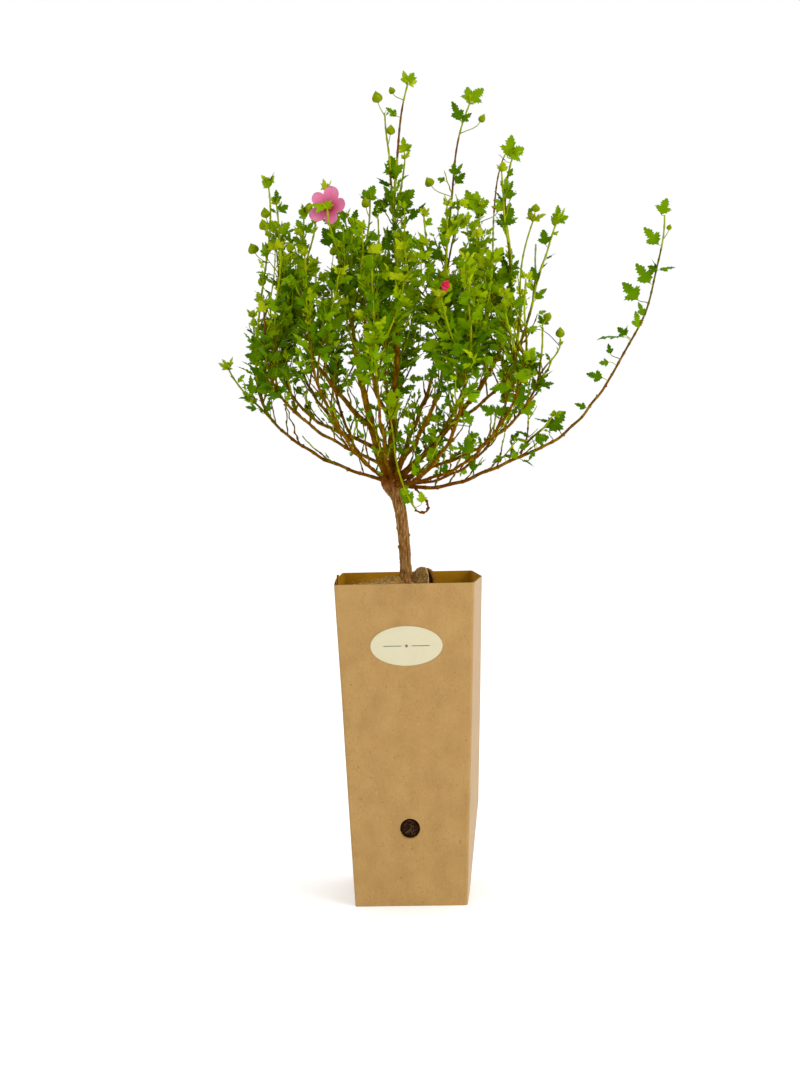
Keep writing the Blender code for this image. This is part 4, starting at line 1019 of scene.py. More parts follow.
def grow_on_bough(plant, bough, random, start, leafy):
    """Wiry knobbly twigs with small narrow leaves along the lower boughs, where the crown is open."""
    length = bough.lengths[-1]
    here = start
    turn = random.uniform(0, FULL_TURN)
    while here < length * 0.97:
        share = here / length
        place, along, _ = bough.at(share)
        turn += DIVERGENCE
        _, side, _ = frame_along(along, turn)
        up = unit(side * 0.7 + along * 0.55 + 0.8 * UP)
        reach = random.uniform(12, 44) * MM
        tint = pick_tint(0.25 + 0.25 * leafy, 0.3, random)
        size = (random.uniform(5.5, 9.5) + leafy * random.uniform(1.0, 6.5)) * MM
        if not in_open_sky(place + up * reach, 1 * MM):
            grow_twig(plant, place, up, reach, random.uniform(0.5, 0.72) * MM, tint, size, random,
                      "wood" if random.random() < 0.35 else "olive", random.uniform(4.8, 7.0) * MM, bare=0.5,
                      knobs=0.9)
        if random.random() < 0.3 + 0.6 * leafy:
            heading = unit(side + along * 0.4 + 0.3 * UP)
            roll = random.uniform(-1, 1)
            plant.leaf(place, heading, roll, random.uniform(7.5, 12 + 5 * leafy) * MM, tint, random)
        here += random.uniform(8, 15) * MM


# leaves read off the photo: the foot on its stem, then for each leaf there the x and z of the blade's base
# and of its tip, its colour, and 1 where it is seen edge-on
SEEN = (
    ((216, -10, 555), (213, 555, 218, 569, 3, 0)), ((214, -10, 531), (211, 531, 199, 546, 2, 0)),
    ((209, -10, 511), (210, 511, 224, 514, 2, 1), (210, 511, 202, 515, 1, 0)),
    ((209, -10, 513), (210, 513, 205, 520, 2, 1)), ((206, -10, 499), (204, 500, 192, 517, 2, 0)),
    ((202, -9, 485), (194, 487, 181, 502, 2, 0)), ((199, -9, 475), (198, 474, 194, 486, 2, 0)),
    ((193, -8, 464), (194, 464, 192, 479, 3, 0)), ((188, -8, 454), (183, 458, 161, 462, 2, 1)),
    ((188, -8, 456), (184, 459, 177, 466, 1, 0), (184, 459, 184, 468, 4, 1)),
    ((179, -8, 440), (171, 444, 169, 453, 1, 0)), ((176, -7, 435), (170, 438, 162, 436, 2, 1)),
    ((169, -7, 422), (165, 425, 151, 429, 1, 0)), ((152, -7, 400), (151, 401, 141, 405, 1, 0)),
    ((124, -6, 375), (120, 382, 134, 399, 0, 0)), ((131, -6, 379), (121, 391, 107, 394, 2, 1)),
    ((111, -5, 368), (108, 375, 120, 379, 1, 0)), ((109, -5, 367), (105, 378, 93, 384, 1, 1)),
    ((97, -5, 363), (95, 369, 105, 373, 2, 0)), ((93, -4, 361), (94, 360, 88, 370, 3, 0)),
    ((109, -5, 367), (108, 367, 103, 359, 1, 0)), ((85, -5, 357), (82, 363, 73, 358, 2, 0)),
    ((93, -69, 416), (86, 417, 70, 417, 2, 0)), ((88, -66, 404), (92, 404, 95, 421, 1, 0)),
    ((95, -34, 397), (96, 397, 108, 408, 3, 0)), ((89, -32, 391), (88, 392, 82, 400, 4, 0)),
    ((80, -61, 392), (74, 397, 63, 404, 1, 0), (74, 397, 86, 403, 1, 0)),
    ((110, -39, 423), (104, 425, 97, 431, 1, 0)), ((107, -37, 416), (104, 417, 116, 424, 2, 0)),
    ((112, -42, 439), (107, 440, 96, 437, 2, 1)), ((49, -78, 408), (53, 408, 63, 415, 3, 0)),
    ((43, -70, 389), (56, 389, 50, 402, 2, 0)), ((65, -24, 372), (64, 374, 62, 380, 1, 0)),
    ((95, -4, 362), (89, 375, 96, 383, 1, 0)), ((29, -53, 363), (31, 364, 24, 370, 1, 0)),
    ((34, -29, 350), (33, 350, 36, 359, 0, 0)), ((47, -19, 364), (46, 367, 39, 363, 2, 0)),
    ((-140, -19, 438), (-140, 440, -145, 447, 4, 0)), ((-139, -19, 435), (-138, 435, -141, 441, 4, 1)),
    ((-136, -18, 430), (-136, 430, -140, 434, 3, 1)), ((-134, -18, 427), (-133, 427, -129, 435, 3, 1)),
    ((-128, -16, 420), (-126, 422, -131, 424, 1, 1)), ((-123, -15, 414), (-121, 417, -123, 434, 2, 0)),
    ((-116, -13, 418), (-120, 418, -116, 426, 1, 1)), ((-116, -14, 407), (-118, 406, -128, 408, 0, 0)),
    ((-111, -13, 402), (-114, 402, -117, 408, 1, 1)), ((-110, -12, 402), (-110, 403, -108, 414, 1, 0)),
    ((-116, -11, 422), (-113, 423, -113, 436, 2, 0)), ((-118, -14, 454), (-116, 455, -121, 466, 2, 0)),
    ((-118, -14, 448), (-118, 448, -127, 450, 0, 0)), ((-118, -14, 445), (-119, 445, -125, 443, 0, 1)),
    ((-105, -8, 585), (-104, 585, -108, 595, 3, 0), (-104, 585, -101, 599, 3, 1),
     (-104, 585, -110, 591, 3, 0)),
    ((-104, -9, 558), (-105, 558, -99, 551, 3, 0)), ((-106, -9, 537), (-110, 537, -103, 543, 2, 1)),
    ((-96, -35, 567), (-95, 569, -96, 580, 1, 0)), ((-96, -35, 562), (-94, 562, -87, 568, 1, 0)),
    ((-95, -35, 561), (-96, 561, -101, 565, 1, 0)), ((-81, 45, 568), (-78, 568, -80, 580, 2, 1)),
    ((-81, 45, 567), (-79, 566, -85, 574, 3, 0)),
    ((-82, 47, 553), (-80, 554, -73, 564, 2, 0), (-82, 554, -87, 566, 3, 0)),
    ((-22, -15, 572), (-25, 572, -18, 584, 2, 0), (-25, 572, -27, 581, 2, 0), (-22, 572, -16, 574, 2, 0)),
    ((-24, -11, 549), (-38, 551, -33, 566, 1, 0)), ((-24, -11, 551), (-43, 554, -45, 567, 1, 1)),
    ((-19, 70, 568), (-19, 572, -14, 581, 4, 1), (-19, 572, -13, 577, 4, 1), (-21, 569, -22, 581, 0, 1)),
    ((-48, -53, 530), (-53, 531, -58, 547, 1, 0)), ((-49, -54, 532), (-50, 532, -42, 544, 2, 0)),
    ((10, -10, 664), (9, 665, 7, 676, 4, 0), (10, 666, 16, 674, 3, 0), (10, 667, 18, 670, 3, 0)),
    ((4, 0, 641), (1, 641, -8, 649, 2, 0), (1, 641, -3, 647, 3, 1)),
    ((-2, 11, 592), (0, 592, -12, 605, 2, 1)), ((-2, 10, 594), (0, 593, -6, 612, 2, 0)),
    ((-3, 13, 574), (-6, 575, -10, 586, 2, 0)),
    ((6, 25, 610), (6, 617, 5, 629, 4, 0), (6, 617, 12, 623, 3, 0), (6, 616, 0, 622, 4, 0)),
    ((-3, 15, 559), (7, 559, 24, 572, 1, 1)),
    ((60, 10, 651), (60, 653, 59, 666, 3, 0), (60, 653, 72, 664, 3, 0), (60, 654, 65, 663, 4, 1)),
    ((54, 12, 637), (53, 638, 46, 655, 0, 0), (53, 638, 62, 645, 0, 0)),
    ((46, 17, 594), (46, 595, 47, 606, 1, 0), (47, 595, 54, 605, 2, 0)),
    ((93, -24, 601), (89, 602, 93, 620, 3, 0), (90, 602, 103, 610, 3, 0), (89, 602, 95, 614, 4, 1)),
    ((92, -23, 598), (88, 599, 82, 605, 3, 1)),
    ((85, -35, 570), (86, 569, 93, 582, 2, 0), (86, 569, 96, 572, 2, 0)),
    ((87, -28, 548), (85, 547, 93, 562, 1, 0)), ((112, 38, 558), (108, 566, 114, 571, 3, 0)),
    ((128, -15, 550), (129, 551, 130, 565, 3, 0), (129, 551, 138, 556, 3, 0), (129, 551, 136, 562, 4, 1)),
    ((121, -19, 531), (119, 532, 117, 545, 1, 0)), ((111, -25, 504), (111, 503, 107, 515, 0, 0)),
    ((69, 65, 571), (63, 571, 57, 590, 3, 0), (64, 571, 68, 589, 3, 0)),
    ((68, 65, 569), (64, 570, 76, 581, 3, 0)),
    ((114, -46, 464), (114, 467, 111, 475, 1, 0), (114, 467, 120, 473, 2, 0)),
    ((128, -40, 450), (109, 464, 99, 462, 2, 0)), ((4, -18, 332), (0, 332, 4, 345, 3, 0)),
    ((7, -16, 325), (8, 327, -3, 337, 2, 0)), ((9, -15, 322), (15, 326, 14, 336, 4, 0)),
    ((-10, -34, 402), (-6, 404, -8, 419, 4, 0)), ((-10, -34, 401), (-5, 401, 2, 410, 4, 0)),
    ((-9, -33, 395), (-4, 396, -10, 404, 4, 0)),
)
# how far in front of their foot the blades stand
BLADE_STAND = 2


def seen_leaves():
    """The foot, base and tip of each leaf of the table, its colour, and whether it is seen edge-on."""
    for foot, *leaves in SEEN:
        y = foot[1] - BLADE_STAND
        for base_x, base_z, tip_x, tip_z, tint, edge in leaves:
            yield np.array(foot) * MM, mm(base_x, y, base_z), mm(tip_x, y, tip_z), tint, edge


def add_seen_leaves(plant, random):
    for foot, base, tip, tint, edge in seen_leaves():
        reach = np.linalg.norm(base - foot)
        along = unit(tip - base)
        if reach > 1.0 * MM:
            rise = unit(base - foot + 0.3 * reach * UP)
            end = base + along * 1.2 * MM
            line = bezier(foot, foot + rise * reach * 0.4, base - along * reach * 0.3, end, 7)
            soup, radius = (plant.olive, 0.42) if reach > 8 * MM else (plant.stalks, 0.30)
            soup.tube(line, np.linspace(radius, 0.28, 7) * MM, 5)
        toward = unit(np.array((random.uniform(-0.35, 0.35), -1.0, random.uniform(-0.1, 0.45))))
        normal = unit(toward - along * (toward @ along))
        across = np.cross(normal, along)
        if edge:
            turn = math.radians(random.choice((-68, 68)))
            c, s = math.cos(turn), math.sin(turn)
            across, normal = c * across + s * normal, c * normal - s * across
        length = np.linalg.norm(tip - base)
        plant.blade(base, (along, across, normal), length, max(0, tint - 1), random, small=length < 6.5 * MM,
                    broad=not edge)


# where each bud shows: place, the mass that carries it, width, length
BUDS = (
    ((-107, -10, 561), "left_low", 7.4, 8.8), ((-109, -6, 552), "left_low", 8.0, 9.4),
    ((-117, -8, 533), "left_low", 9.0, 9.0), ((-14, -6, 652), "crown", 8.6, 9.6),
    ((-2, 4, 661), "crown", 5.4, 6.8), ((-5, 0, 627), "crown", 7.4, 8.2),
    ((28, 8, 586), "right_upright", 8.0, 8.4), ((68.5, 4, 636), "right_upright", 5.6, 7.6),
    ((114, 34, 566), "right_back", 7.4, 7.0), ((128, -40, 457), "right_low", 7.2, 8.6),
    ((-25, -20, 566), "centre_left", 7.0, 9.0), ((2, -64, 536), "front_right", 6.0, 8.0),
    ((-60, 92, 540), "back_left", 7.0, 8.6), ((-20, 104, 533), "back", 7.4, 8.6),
    ((52, 92, 538), "back_right", 7.0, 8.4), ((-118, 50, 512), "left_back", 7.0, 8.4),
    ((-78, 58, 575), "left_back_high", 7.0, 8.6), ((84, 50, 570), "back_right", 6.6, 8.0),
    ((116, -56, 470), "right_front", 6.6, 8.0), ((-80, -84, 526), "front_left", 6.6, 8.0),
    ((219, -11, 543), "arm", 4.2, 5.0),
)


def nearest_below(stems, tip, drop):
    """The place on the stems that is nearest to a tip and at least the drop below it."""
    samples = np.concatenate([stem.samples for stem in stems])
    below = samples[samples[:, 2] < tip[2] - drop]
    return below[int(np.argmin(np.linalg.norm(below - tip, axis=1)))]


def add_buds(plant, stems):
    for place, mass, width, length in BUDS:
        tip = np.array(place) * MM
        plant.bud(nearest_below(stems[mass], tip, 7 * MM), tip, width * MM, length * MM)


def petal_points(heart, outward, facing, length, width, cup, random):
    """A rounded, faintly ruffled petal, narrow at its root."""
    rows, columns = 17, 13
    across = unit(np.cross(facing, outward))
    points = []
    phase = random.uniform(0, FULL_TURN)
    for row in range(rows):
        u = math.sin(math.pi / 2 * row / (rows - 1)) ** 0.9
        if u < 0.6:
            half = width / 2 * (0.24 + 0.76 * math.sin(math.pi / 2 * u / 0.6) ** 1.1)
        else:
            half = width / 2 * math.sqrt(max(0.0, 1 - ((u - 0.6) / 0.4) ** 2.4))
        half = max(half, 0.02 * width)
        for v in np.linspace(-1, 1, columns):
            lift = cup * length * (u**1.5) + 0.10 * width * v * v * u
            ruffle = 0.03 * width * u * u * math.sin(5 * v + phase) + 0.010 * width * math.cos(16 * v) * u
            points.append(heart + outward * u * length + across * v * half + facing * (lift + ruffle))
    return np.array(points), grid_faces(rows, columns, False)


FLOWER_FACING = direction(262, 14)
STAMENS = 26
# angle seen from the front, length and width of each petal
PETALS = ((79, 16.0, 12.4), (142, 15.5, 10.8), (216, 17.0, 12.4), (284, 15.6, 10.2), (5, 13.6, 11.6))
# the leaves at the tip of the shoot in front of it: sideways, upwards, length
FRONT_BLADES = ((-1.0, 0.42, 14.0), (0.5, 0.9, 7.0), (-0.1, 1.0, 6.5), (-0.7, 0.7, 6.0), (0.95, 0.5, 6.0))


def flower_heart(leader):
    return leader.at(1.0)[0] + FLOWER_FACING * 3.2 * MM + 2.0 * MM * UP


def add_flower(plant, leader, random):
    place, along, _ = leader.at(1.0)
    facing = FLOWER_FACING
    heart = flower_heart(leader)
    _, right, up = frame_along(facing, 0.0)
    if right[0] < 0:
        right, up = -right, -up
    for angle, length, width in PETALS:
        a = math.radians(angle)
        outward = unit(math.cos(a) * right + math.sin(a) * up)
        plant.petals.add(*petal_points(heart, outward, facing, length * MM, width * MM, 0.20, random))
    for number in range(5):
        a = math.radians(40 + 72 * number)
        outward = unit(math.cos(a) * right + math.sin(a) * up)
        base = heart - facing * 1.4 * MM
        middle = base + outward * 3 * MM + facing * 0.2 * MM
        line = np.array([base, middle, base + outward * 6.4 * MM + facing * 1.2 * MM])
        plant.buds.tube(line, mm(1.3, 1.5, 0.25), 6)
    stalk = bezier(place, place + along * 2 * MM, heart - facing * 3 * MM, heart - facing * 0.6 * MM, 6)
    plant.stalks.tube(stalk, mm(0.6, 0.6, 0.7, 1.0, 1.6, 1.9), 8)
    column = np.array([heart + facing * s * MM for s in (0, 1.5, 3.0, 4.2, 5.0)])
    plant.hearts.tube(column, mm(1.1, 0.8, 0.7, 0.8, 0.4), 8)
    for number in range(STAMENS):
        spin = number * DIVERGENCE
        out = math.cos(spin) * right + math.sin(spin) * up
        root = heart + facing * (2.6 + 0.09 * number) * MM
        end = root + out * 1.5 * MM + facing * 0.6 * MM
        plant.hearts.tube(np.array([root, (root + end) / 2, end]), mm(0.12, 0.12, 0.42), 5)
    # the young side shoot that stands in front of the flower's middle
    low = leader.at(0.60)[0]
    front = heart + facing * 6.5 * MM - up * 3.2 * MM
    leave, arrive = np.array((0.002, -0.010, 0.008)), np.array((-0.001, 0.002, 0.022))
    line = bezier(low, low + leave, front - arrive, front, 14)
    plant.green.tube(line, np.linspace(1.05, 0.8, 14) * MM, 7)
    for side, lift, size in FRONT_BLADES:
        along = unit(side * right + lift * up + 0.2 * facing)
        normal = unit(facing - along * (facing @ along) + 0.4 * up)
        tint = 3 if size > 6.2 else 4
        plant.blade(front, (along, np.cross(normal, along), normal), size * MM, tint, random)


def add_red_bud(plant, stems):
    """The second bloom, still rolled up: rose petals out of a green calyx."""
    tip = mm(41.5, -108, 492.5)
    foot = nearest_below(stems["front_right_low"], tip, 6 * MM)
    out = unit(np.array((-0.8, -0.5, 0.35)))
    line = bezier(foot, foot + np.array((0, -0.004, 0.004)), tip - out * 4 * MM, tip, 8)
    plant.stalks.tube(line, np.linspace(0.5, 0.45, 8) * MM, 5)
    plant.bud_body(tip, out, 7.0 * MM, 6.2 * MM, plant.buds)
    for number in range(5):
        _, side, _ = frame_along(out, number * 2 * math.pi / 5)
        root = tip + out * 2.0 * MM + side * 1.2 * MM
        middle = root + out * 3.2 * MM + side * 1.4 * MM
        line = np.array([root, middle, root + out * 6.0 * MM + side * 0.2 * MM])
        plant.rose.tube(line, mm(1.4, 1.9, 0.5), 9)


DROOP_ROUTE = (
    (9, -3, 338.5), (14, -4.5, 333), (18.5, -7, 328.5), (20, -8, 323), (18.6, -9.5, 318.6), (13, -13, 318.5),
    (9.5, -15, 320.6),
)
ARCHED_ROUTE = (
    (70, -30, 470), (75.7, -31, 514.6), (76.9, -32, 552.5), (80.1, -30, 582.9), (85.7, -27, 603.4),
    (90, -26, 609),
)


def rounded_route(route, count, passes):
    """A line through the route's points at an even step, rounded off, and the length along it."""
    points = np.array(route) * MM
    lengths = line_lengths(points)
    along = np.linspace(0, lengths[-1], count)
    return smooth_line(points_along(along, lengths, points), passes), along


def add_droop(plant, random):
    """The knobbly dead end of the twig that hangs under the knob."""
    line, along = rounded_route(DROOP_ROUTE, 40, 3)
    radii = 0.78 * MM * (1 + 0.95 * np.maximum(0, np.sin(along / (1.1 * MM))) ** 3)
    plant.wood.tube(line, radii, 7)
    for share in (0.3, 0.5, 0.62, 0.75, 0.9):
        at = line[int(share * 39)]
        heading = unit(np.array((random.uniform(-0.5, 1), -0.5, random.uniform(-0.8, 0.6))))
        short = np.array([at, at + heading * 1.6 * MM, at + heading * 2.6 * MM])
        plant.wood.tube(short, mm(0.7, 0.9, 0.5), 6)


def add_arched_shoot(plant):
    """The thin purplish shoot that arches up beside the right leader to its tip."""
    line, _ = rounded_route(ARCHED_ROUTE, 30, 4)
    shoot = Limb(line, np.linspace(0.85, 0.5, 30) * MM)
    soups = ((plant.olive, 0.2), (plant.green, 0.62), (plant.purple, 0.94), (plant.green, 1.0))
    plant.stem_tube(shoot, 7, 9 * MM, soups)


def grow_bark(plant, limbs, random):
    """Each bough's bark, its foot sunk into the limb that carries it."""
    trunk_top = limbs["trunk"].points[-1]
    for index, (name, parent, *_rest) in enumerate(BOUGHS):
        if name == "droop":
            continue
        limb = limbs[name]
        nodes_at = np.arange(9 * MM, limb.lengths[-1], 10.5 * MM) + random.uniform(-2, 2) * MM
        if parent == "trunk":
            root = trunk_top + (limb.points[0] - trunk_top) * 0.35
            collar = 0.55
        else:
            into = max(1.2 * MM, 1.6 * limb.radii[0])
            root = limb.points[0] - unit(limb.points[1] - limb.points[0]) * into
            collar = 0.30
        sides, depth, swell = (14, 0.09, 0.16) if limb.radii[0] > 1.6 * MM else (10, 0.05, 0.28)
        plant.wood.add(*limb_mesh(limb, 1.6 * MM, sides, depth, root, collar, nodes_at, swell, 7.0 * index))
        for piece in dormant_buds(limb, nodes_at):
            plant.wood.add(*piece)


def grow_masses(plant, stems):
    for index, (name, _, _, _, _, leaf_size, bright) in enumerate(MASSES):
        own = np.random.default_rng([SEED, index])
        for number, stem in enumerate(stems[name]):
            if name not in ("arm", "shoot"):
                leads = number == 0
                grow_stem(plant, stem, bright, leaf_size, own, leads, leads and name in GREEN_SHOOTS)
                continue
            shades = (plant.wood, plant.olive) if name == "arm" else (plant.green, plant.green)
            plant.stem_tube(stem, 7, 9 * MM, ((shades[0], 0.45), (shades[1], 0.8), (plant.green, 1.0)))
            place, along, _ = stem.at(1.0)
            plant.tuft(place, along, 4, 6.5 * MM, 4, own)


def grow_outer_twigs(plant, stems):
    for index, (name, share, azimuth, length) in enumerate(OUTER_TWIGS):
        own = np.random.default_rng([SEED, 300 + index])
        place, _, _ = stems[name][0].at(share)
        grow_twig(plant, place, direction(azimuth, 14), length * MM, 0.6 * MM, 2 + index % 2, 12.5 * MM, own,
                  "olive", 5.5 * MM)


def grow_lower_twigs(plant, limbs):
    for index, (name, *_rest) in enumerate(BOUGHS):
        own = np.random.default_rng([SEED, 100 + index])
        if name in ("droop", "arm_upper"):
            continue
        leafy = 0.9 if limbs[name].points[-1][0] > 20 * MM else 0.35
        grow_on_bough(plant, limbs[name], own, 26 * MM if name == "arm_lower" else 16 * MM, leafy)


def grow_plant():
    limbs = grow_boughs()
    stems = grow_stems(limbs)
    # the third twig of this mass is the stalk of its bud
    stems["right_upright"] = stems["right_upright"][:2]
    plant = Plant()
    bark = make_trunk(limbs["trunk"])
    random = np.random.default_rng(SEED + 1)
    grow_bark(plant, limbs, random)
    grow_masses(plant, stems)
    grow_outer_twigs(plant, stems)
    grow_lower_twigs(plant, limbs)
    add_seen_leaves(plant, random)
    add_arched_shoot(plant)
    add_buds(plant, stems)
    add_flower(plant, stems["flower"][0], random)
    add_red_bud(plant, stems)
    add_droop(plant, random)
    return plant, bark, stems


def build_plant():
    plant, bark, stems = grow_plant()
    bough_nodes = ["bough_" + row[0] for row in BOUGHS]
    mass_nodes = ["foliage_" + row[0] for row in MASSES]
    trunk_piece = bark.build("trunk_bark", BARK)
    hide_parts("trunk")
    wood = plant.wood.build("limb_bark", WOOD)
    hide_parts(*bough_nodes)
    for name, soup, skin in (("twigs_olive", plant.olive, OLIVE), ("twigs_green", plant.green, GREEN),
                             ("twigs_purple", plant.purple, PURPLE), ("leaf_stalks", plant.stalks, GREEN),
                             ("flower_buds", plant.buds, BUD)):
        piece = soup.build(name, skin)
        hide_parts(*mass_nodes)
    for (name, _), soup, skin in zip(LEAF_COLOURS, plant.leaves, LEAVES):
        piece = soup.build("leaves_" + name, skin)
        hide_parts(*mass_nodes)
    heart = tuple(float(value) for value in flower_heart(stems["flower"][0]))
    petals = plant.petals.build("flower_petals", petal_material("petal_pink", heart))
    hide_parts("foliage_flower")
    rose_skin = material("petal_rose", (srgb(150, 16, 42), srgb(184, 30, 60), srgb(204, 66, 94)), 400,
                         (0.5, 0.6))
    rose = plant.rose.build("bud_petals", rose_skin)
    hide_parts("foliage_front_right_low")
    stamen_skin = material("stamens", (srgb(150, 70, 60), srgb(206, 160, 120), srgb(226, 206, 150)), 900,
                           (0.6, 0.7))
    stamens = plant.hearts.build("flower_stamens", stamen_skin)
    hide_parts("foliage_flower")


# ---------------------------------------------------------------- carton

SLEEVE_HEIGHT = 264 * MM
SLEEVE_TOP = 112 * MM
SLEEVE_FOOT = 91.4 * MM
BOARD = 1.6 * MM
LINER = 0.28 * MM
FOLD_RADIUS = 2.4 * MM
SIDE_CREASES = ((0, 2.5, 0.8), (76, 8.4, 2.0), (264, 7.2, 2.0))
VENT_HEIGHT = 64.5 * MM
VENT_RADIUS = 8.1 * MM
VENT_X = 0.4 * MM
FLUTE_STEP = 0.42
FLUTE_PITCH = 3.0
FLAP_DEPTH = 40 * MM
FLAP_THICK = 1.5


def two_sheet_faces(rows, columns):
    """Faces of two open grids of points, the first over the second, joined round their border."""
    faces = grid_faces(rows, columns, False)
    total = rows * columns
    border = np.concatenate([
        np.arange(columns), np.arange(1, rows) * columns + columns - 1,
        (rows - 1) * columns + np.arange(columns - 2, -1, -1), np.arange(rows - 2, 0, -1) * columns,
    ])
    after = np.roll(border, -1)
    rim = [np.stack([border, after, after + total], 1), np.stack([border, after + total, border + total], 1)]
    return np.concatenate([faces, faces[:, ::-1] + total, *rim])


def panel_half_width(z):
    return (SLEEVE_FOOT + (SLEEVE_TOP - SLEEVE_FOOT) * z / SLEEVE_HEIGHT) / 2


def sleeve_outline(z, inset):
    """Points round the carton at a height, inset from the outer face: rounded folds and creased sides."""
    half = panel_half_width(z) - inset
    heights = [row[0] * MM for row in SIDE_CREASES]
    right = float(np.interp(z, heights, [row[1] * MM for row in SIDE_CREASES]))
    left = float(np.interp(z, heights, [row[2] * MM for row in SIDE_CREASES]))
    corners = [(-half, -half), (half, -half), (half + right, 0.0), (half, half), (-half, half),
               (-half - left, 0.0)]
    radii = [FOLD_RADIUS, FOLD_RADIUS, 1.2 * MM, FOLD_RADIUS, FOLD_RADIUS, 1.2 * MM]
    ring = []
    for i in range(6):
        before = np.array(corners[i - 1])
        here = np.array(corners[i])
        after = np.array(corners[(i + 1) % 6])
        reach = max(0.4 * MM, radii[i] - (inset if i in (0, 1, 3, 4) else 0))
        a = here + unit(before - here) * reach
        b = here + unit(after - here) * reach
        for t in np.linspace(0, 1, 7):
            ring.append((1 - t) ** 2 * a + 2 * (1 - t) * t * here + t * t * b)
        # the flat stretch to the next fold
        reach_next = max(0.4 * MM, radii[(i + 1) % 6] - (inset if (i + 1) % 6 in (0, 1, 3, 4) else 0))
        start = b
        end = after + unit(here - after) * reach_next
        steps = 22 if i in (0, 3) else 12
        for t in np.linspace(0, 1, steps + 2)[1:-1]:
            ring.append(start + (end - start) * t)
    return np.array(ring)


def panel_bow(x, y, z):
    """The board's slight waviness."""
    return 0.35 * MM * noise_at(x * 14, y * 14, z * 9) + 0.10 * MM * noise_at(x * 60, y * 60, z * 40)


def sleeve_sheet(inset, rings):
    """Points of one skin of the board."""
    rows = []
    for z in np.linspace(0.0, SLEEVE_HEIGHT, rings):
        outline = sleeve_outline(z, inset)
        centre_out = outline / np.linalg.norm(outline, axis=1)[:, None]
        bows = np.array([panel_bow(x, y, z) for x, y in outline])
        moved = outline + centre_out * bows[:, None]
        rows.append(np.column_stack([moved, np.full(len(moved), z)]))
    return np.array(rows)


def cut_hole(obj):
    bpy.ops.mesh.primitive_cylinder_add(vertices=64, radius=VENT_RADIUS, depth=14 * MM)
    drill = bpy.context.object
    drill.location = (VENT_X, -panel_half_width(VENT_HEIGHT), VENT_HEIGHT)
    drill.rotation_euler = (math.radians(90), 0, 0)
    cut = obj.modifiers.new("vent", "BOOLEAN")
    cut.operation = "DIFFERENCE"
    cut.solver = "EXACT"
    cut.object = drill
    bpy.context.view_layer.update()
    graph = bpy.context.evaluated_depsgraph_get()
    mesh = bpy.data.meshes.new_from_object(obj.evaluated_get(graph))
    obj.modifiers.clear()
    obj.data = mesh
    bpy.data.objects.remove(drill, do_unlink=True)


def board_skin(name, outer, inner, skin):
    """A closed thin skin between two insets."""
    rings = 60
    a = sleeve_sheet(outer, rings)
    b = sleeve_sheet(inner, rings)
    count = a.shape[1]
    points = np.concatenate([a.reshape(-1, 3), b.reshape(-1, 3)])
    shell = grid_faces(rings, count, True)
    offset = rings * count
    faces = [shell, shell[:, ::-1] + offset]
    i = np.arange(count)
    j = (i + 1) % count
    top = (rings - 1) * count
    faces.append(np.stack([top + i, top + j, offset + top + j], axis=1))
    faces.append(np.stack([top + i, offset + top + j, offset + top + i], axis=1))
    faces.append(np.stack([j, i, offset + j], axis=1))
    faces.append(np.stack([i, offset + i, offset + j], axis=1))
    soup = Soup()
    soup.add(points, np.concatenate(faces))
    piece = soup.build(name, skin)
    cut_hole(piece)
    piece.data.materials.clear()
    piece.data.materials.append(skin)
    piece.data.shade_smooth()
    piece.data.set_sharp_from_angle(angle=math.radians(40))
    return piece


def resample(outline, step):
    """A closed outline's points at an even step."""
    loop = np.vstack([outline, outline[:1]])
    lengths = line_lengths(loop)
    along = np.linspace(0, lengths[-1], int(lengths[-1] / step), endpoint=False)
    return points_along(along, lengths, loop)


def make_board_skins():
    outer = board_skin("carton_outer", 0.0, LINER, KRAFT)
    inner = board_skin("carton_inner", BOARD - LINER, BOARD, KRAFT_INSIDE)
    for piece in (outer, inner):
        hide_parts("carton_sleeve")


def make_fluting():
    """The wavy middle sheet, open to view along the rim."""
    soup = Soup()
    rows = []
    for z in (SLEEVE_HEIGHT - 0.35 * MM, SLEEVE_HEIGHT - 5 * MM, SLEEVE_HEIGHT - 10 * MM):
        middle = resample(sleeve_outline(z, BOARD / 2), FLUTE_STEP * MM)
        if not rows:
            count = len(middle)
        short = max(0, count - len(middle))
        middle = np.vstack([middle[:count], middle[-1:].repeat(short, 0)])
        after = np.roll(middle, -1, axis=0) - np.roll(middle, 1, axis=0)
        normal = np.column_stack([after[:, 1], -after[:, 0]])
        normal /= np.maximum(np.linalg.norm(normal, axis=1)[:, None], 1e-9)
        wave = np.sin(np.arange(count) * FLUTE_STEP / FLUTE_PITCH * 2 * math.pi)[:, None]
        rows.append(np.column_stack([middle + normal * wave * (BOARD / 2 - LINER) * 0.9, np.full(count, z)]))
    soup.add(np.concatenate(rows), grid_faces(3, count, True))
    medium = soup.build("carton_fluting", FLUTING)
    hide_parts("carton_sleeve")


def make_vent_edge():
    """The cut wall of the vent, between the two skins."""
    soup = Soup()
    steps = 120
    angles = sides_round(steps)
    radius = VENT_RADIUS + 0.25 * MM + 0.12 * MM * np.sin(angles * 17)
    rings = []
    for depth in np.linspace(LINER * 0.5, BOARD - LINER * 0.5, 5):
        rings.append(np.column_stack([
            VENT_X + radius * np.cos(angles), np.full(steps, -panel_half_width(VENT_HEIGHT) + depth),
            VENT_HEIGHT + radius * np.sin(angles),
        ]))
    soup.add(np.concatenate(rings), grid_faces(5, steps, True))
    wall = soup.build("vent_edge", FLUTING)
    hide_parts("carton_sleeve")


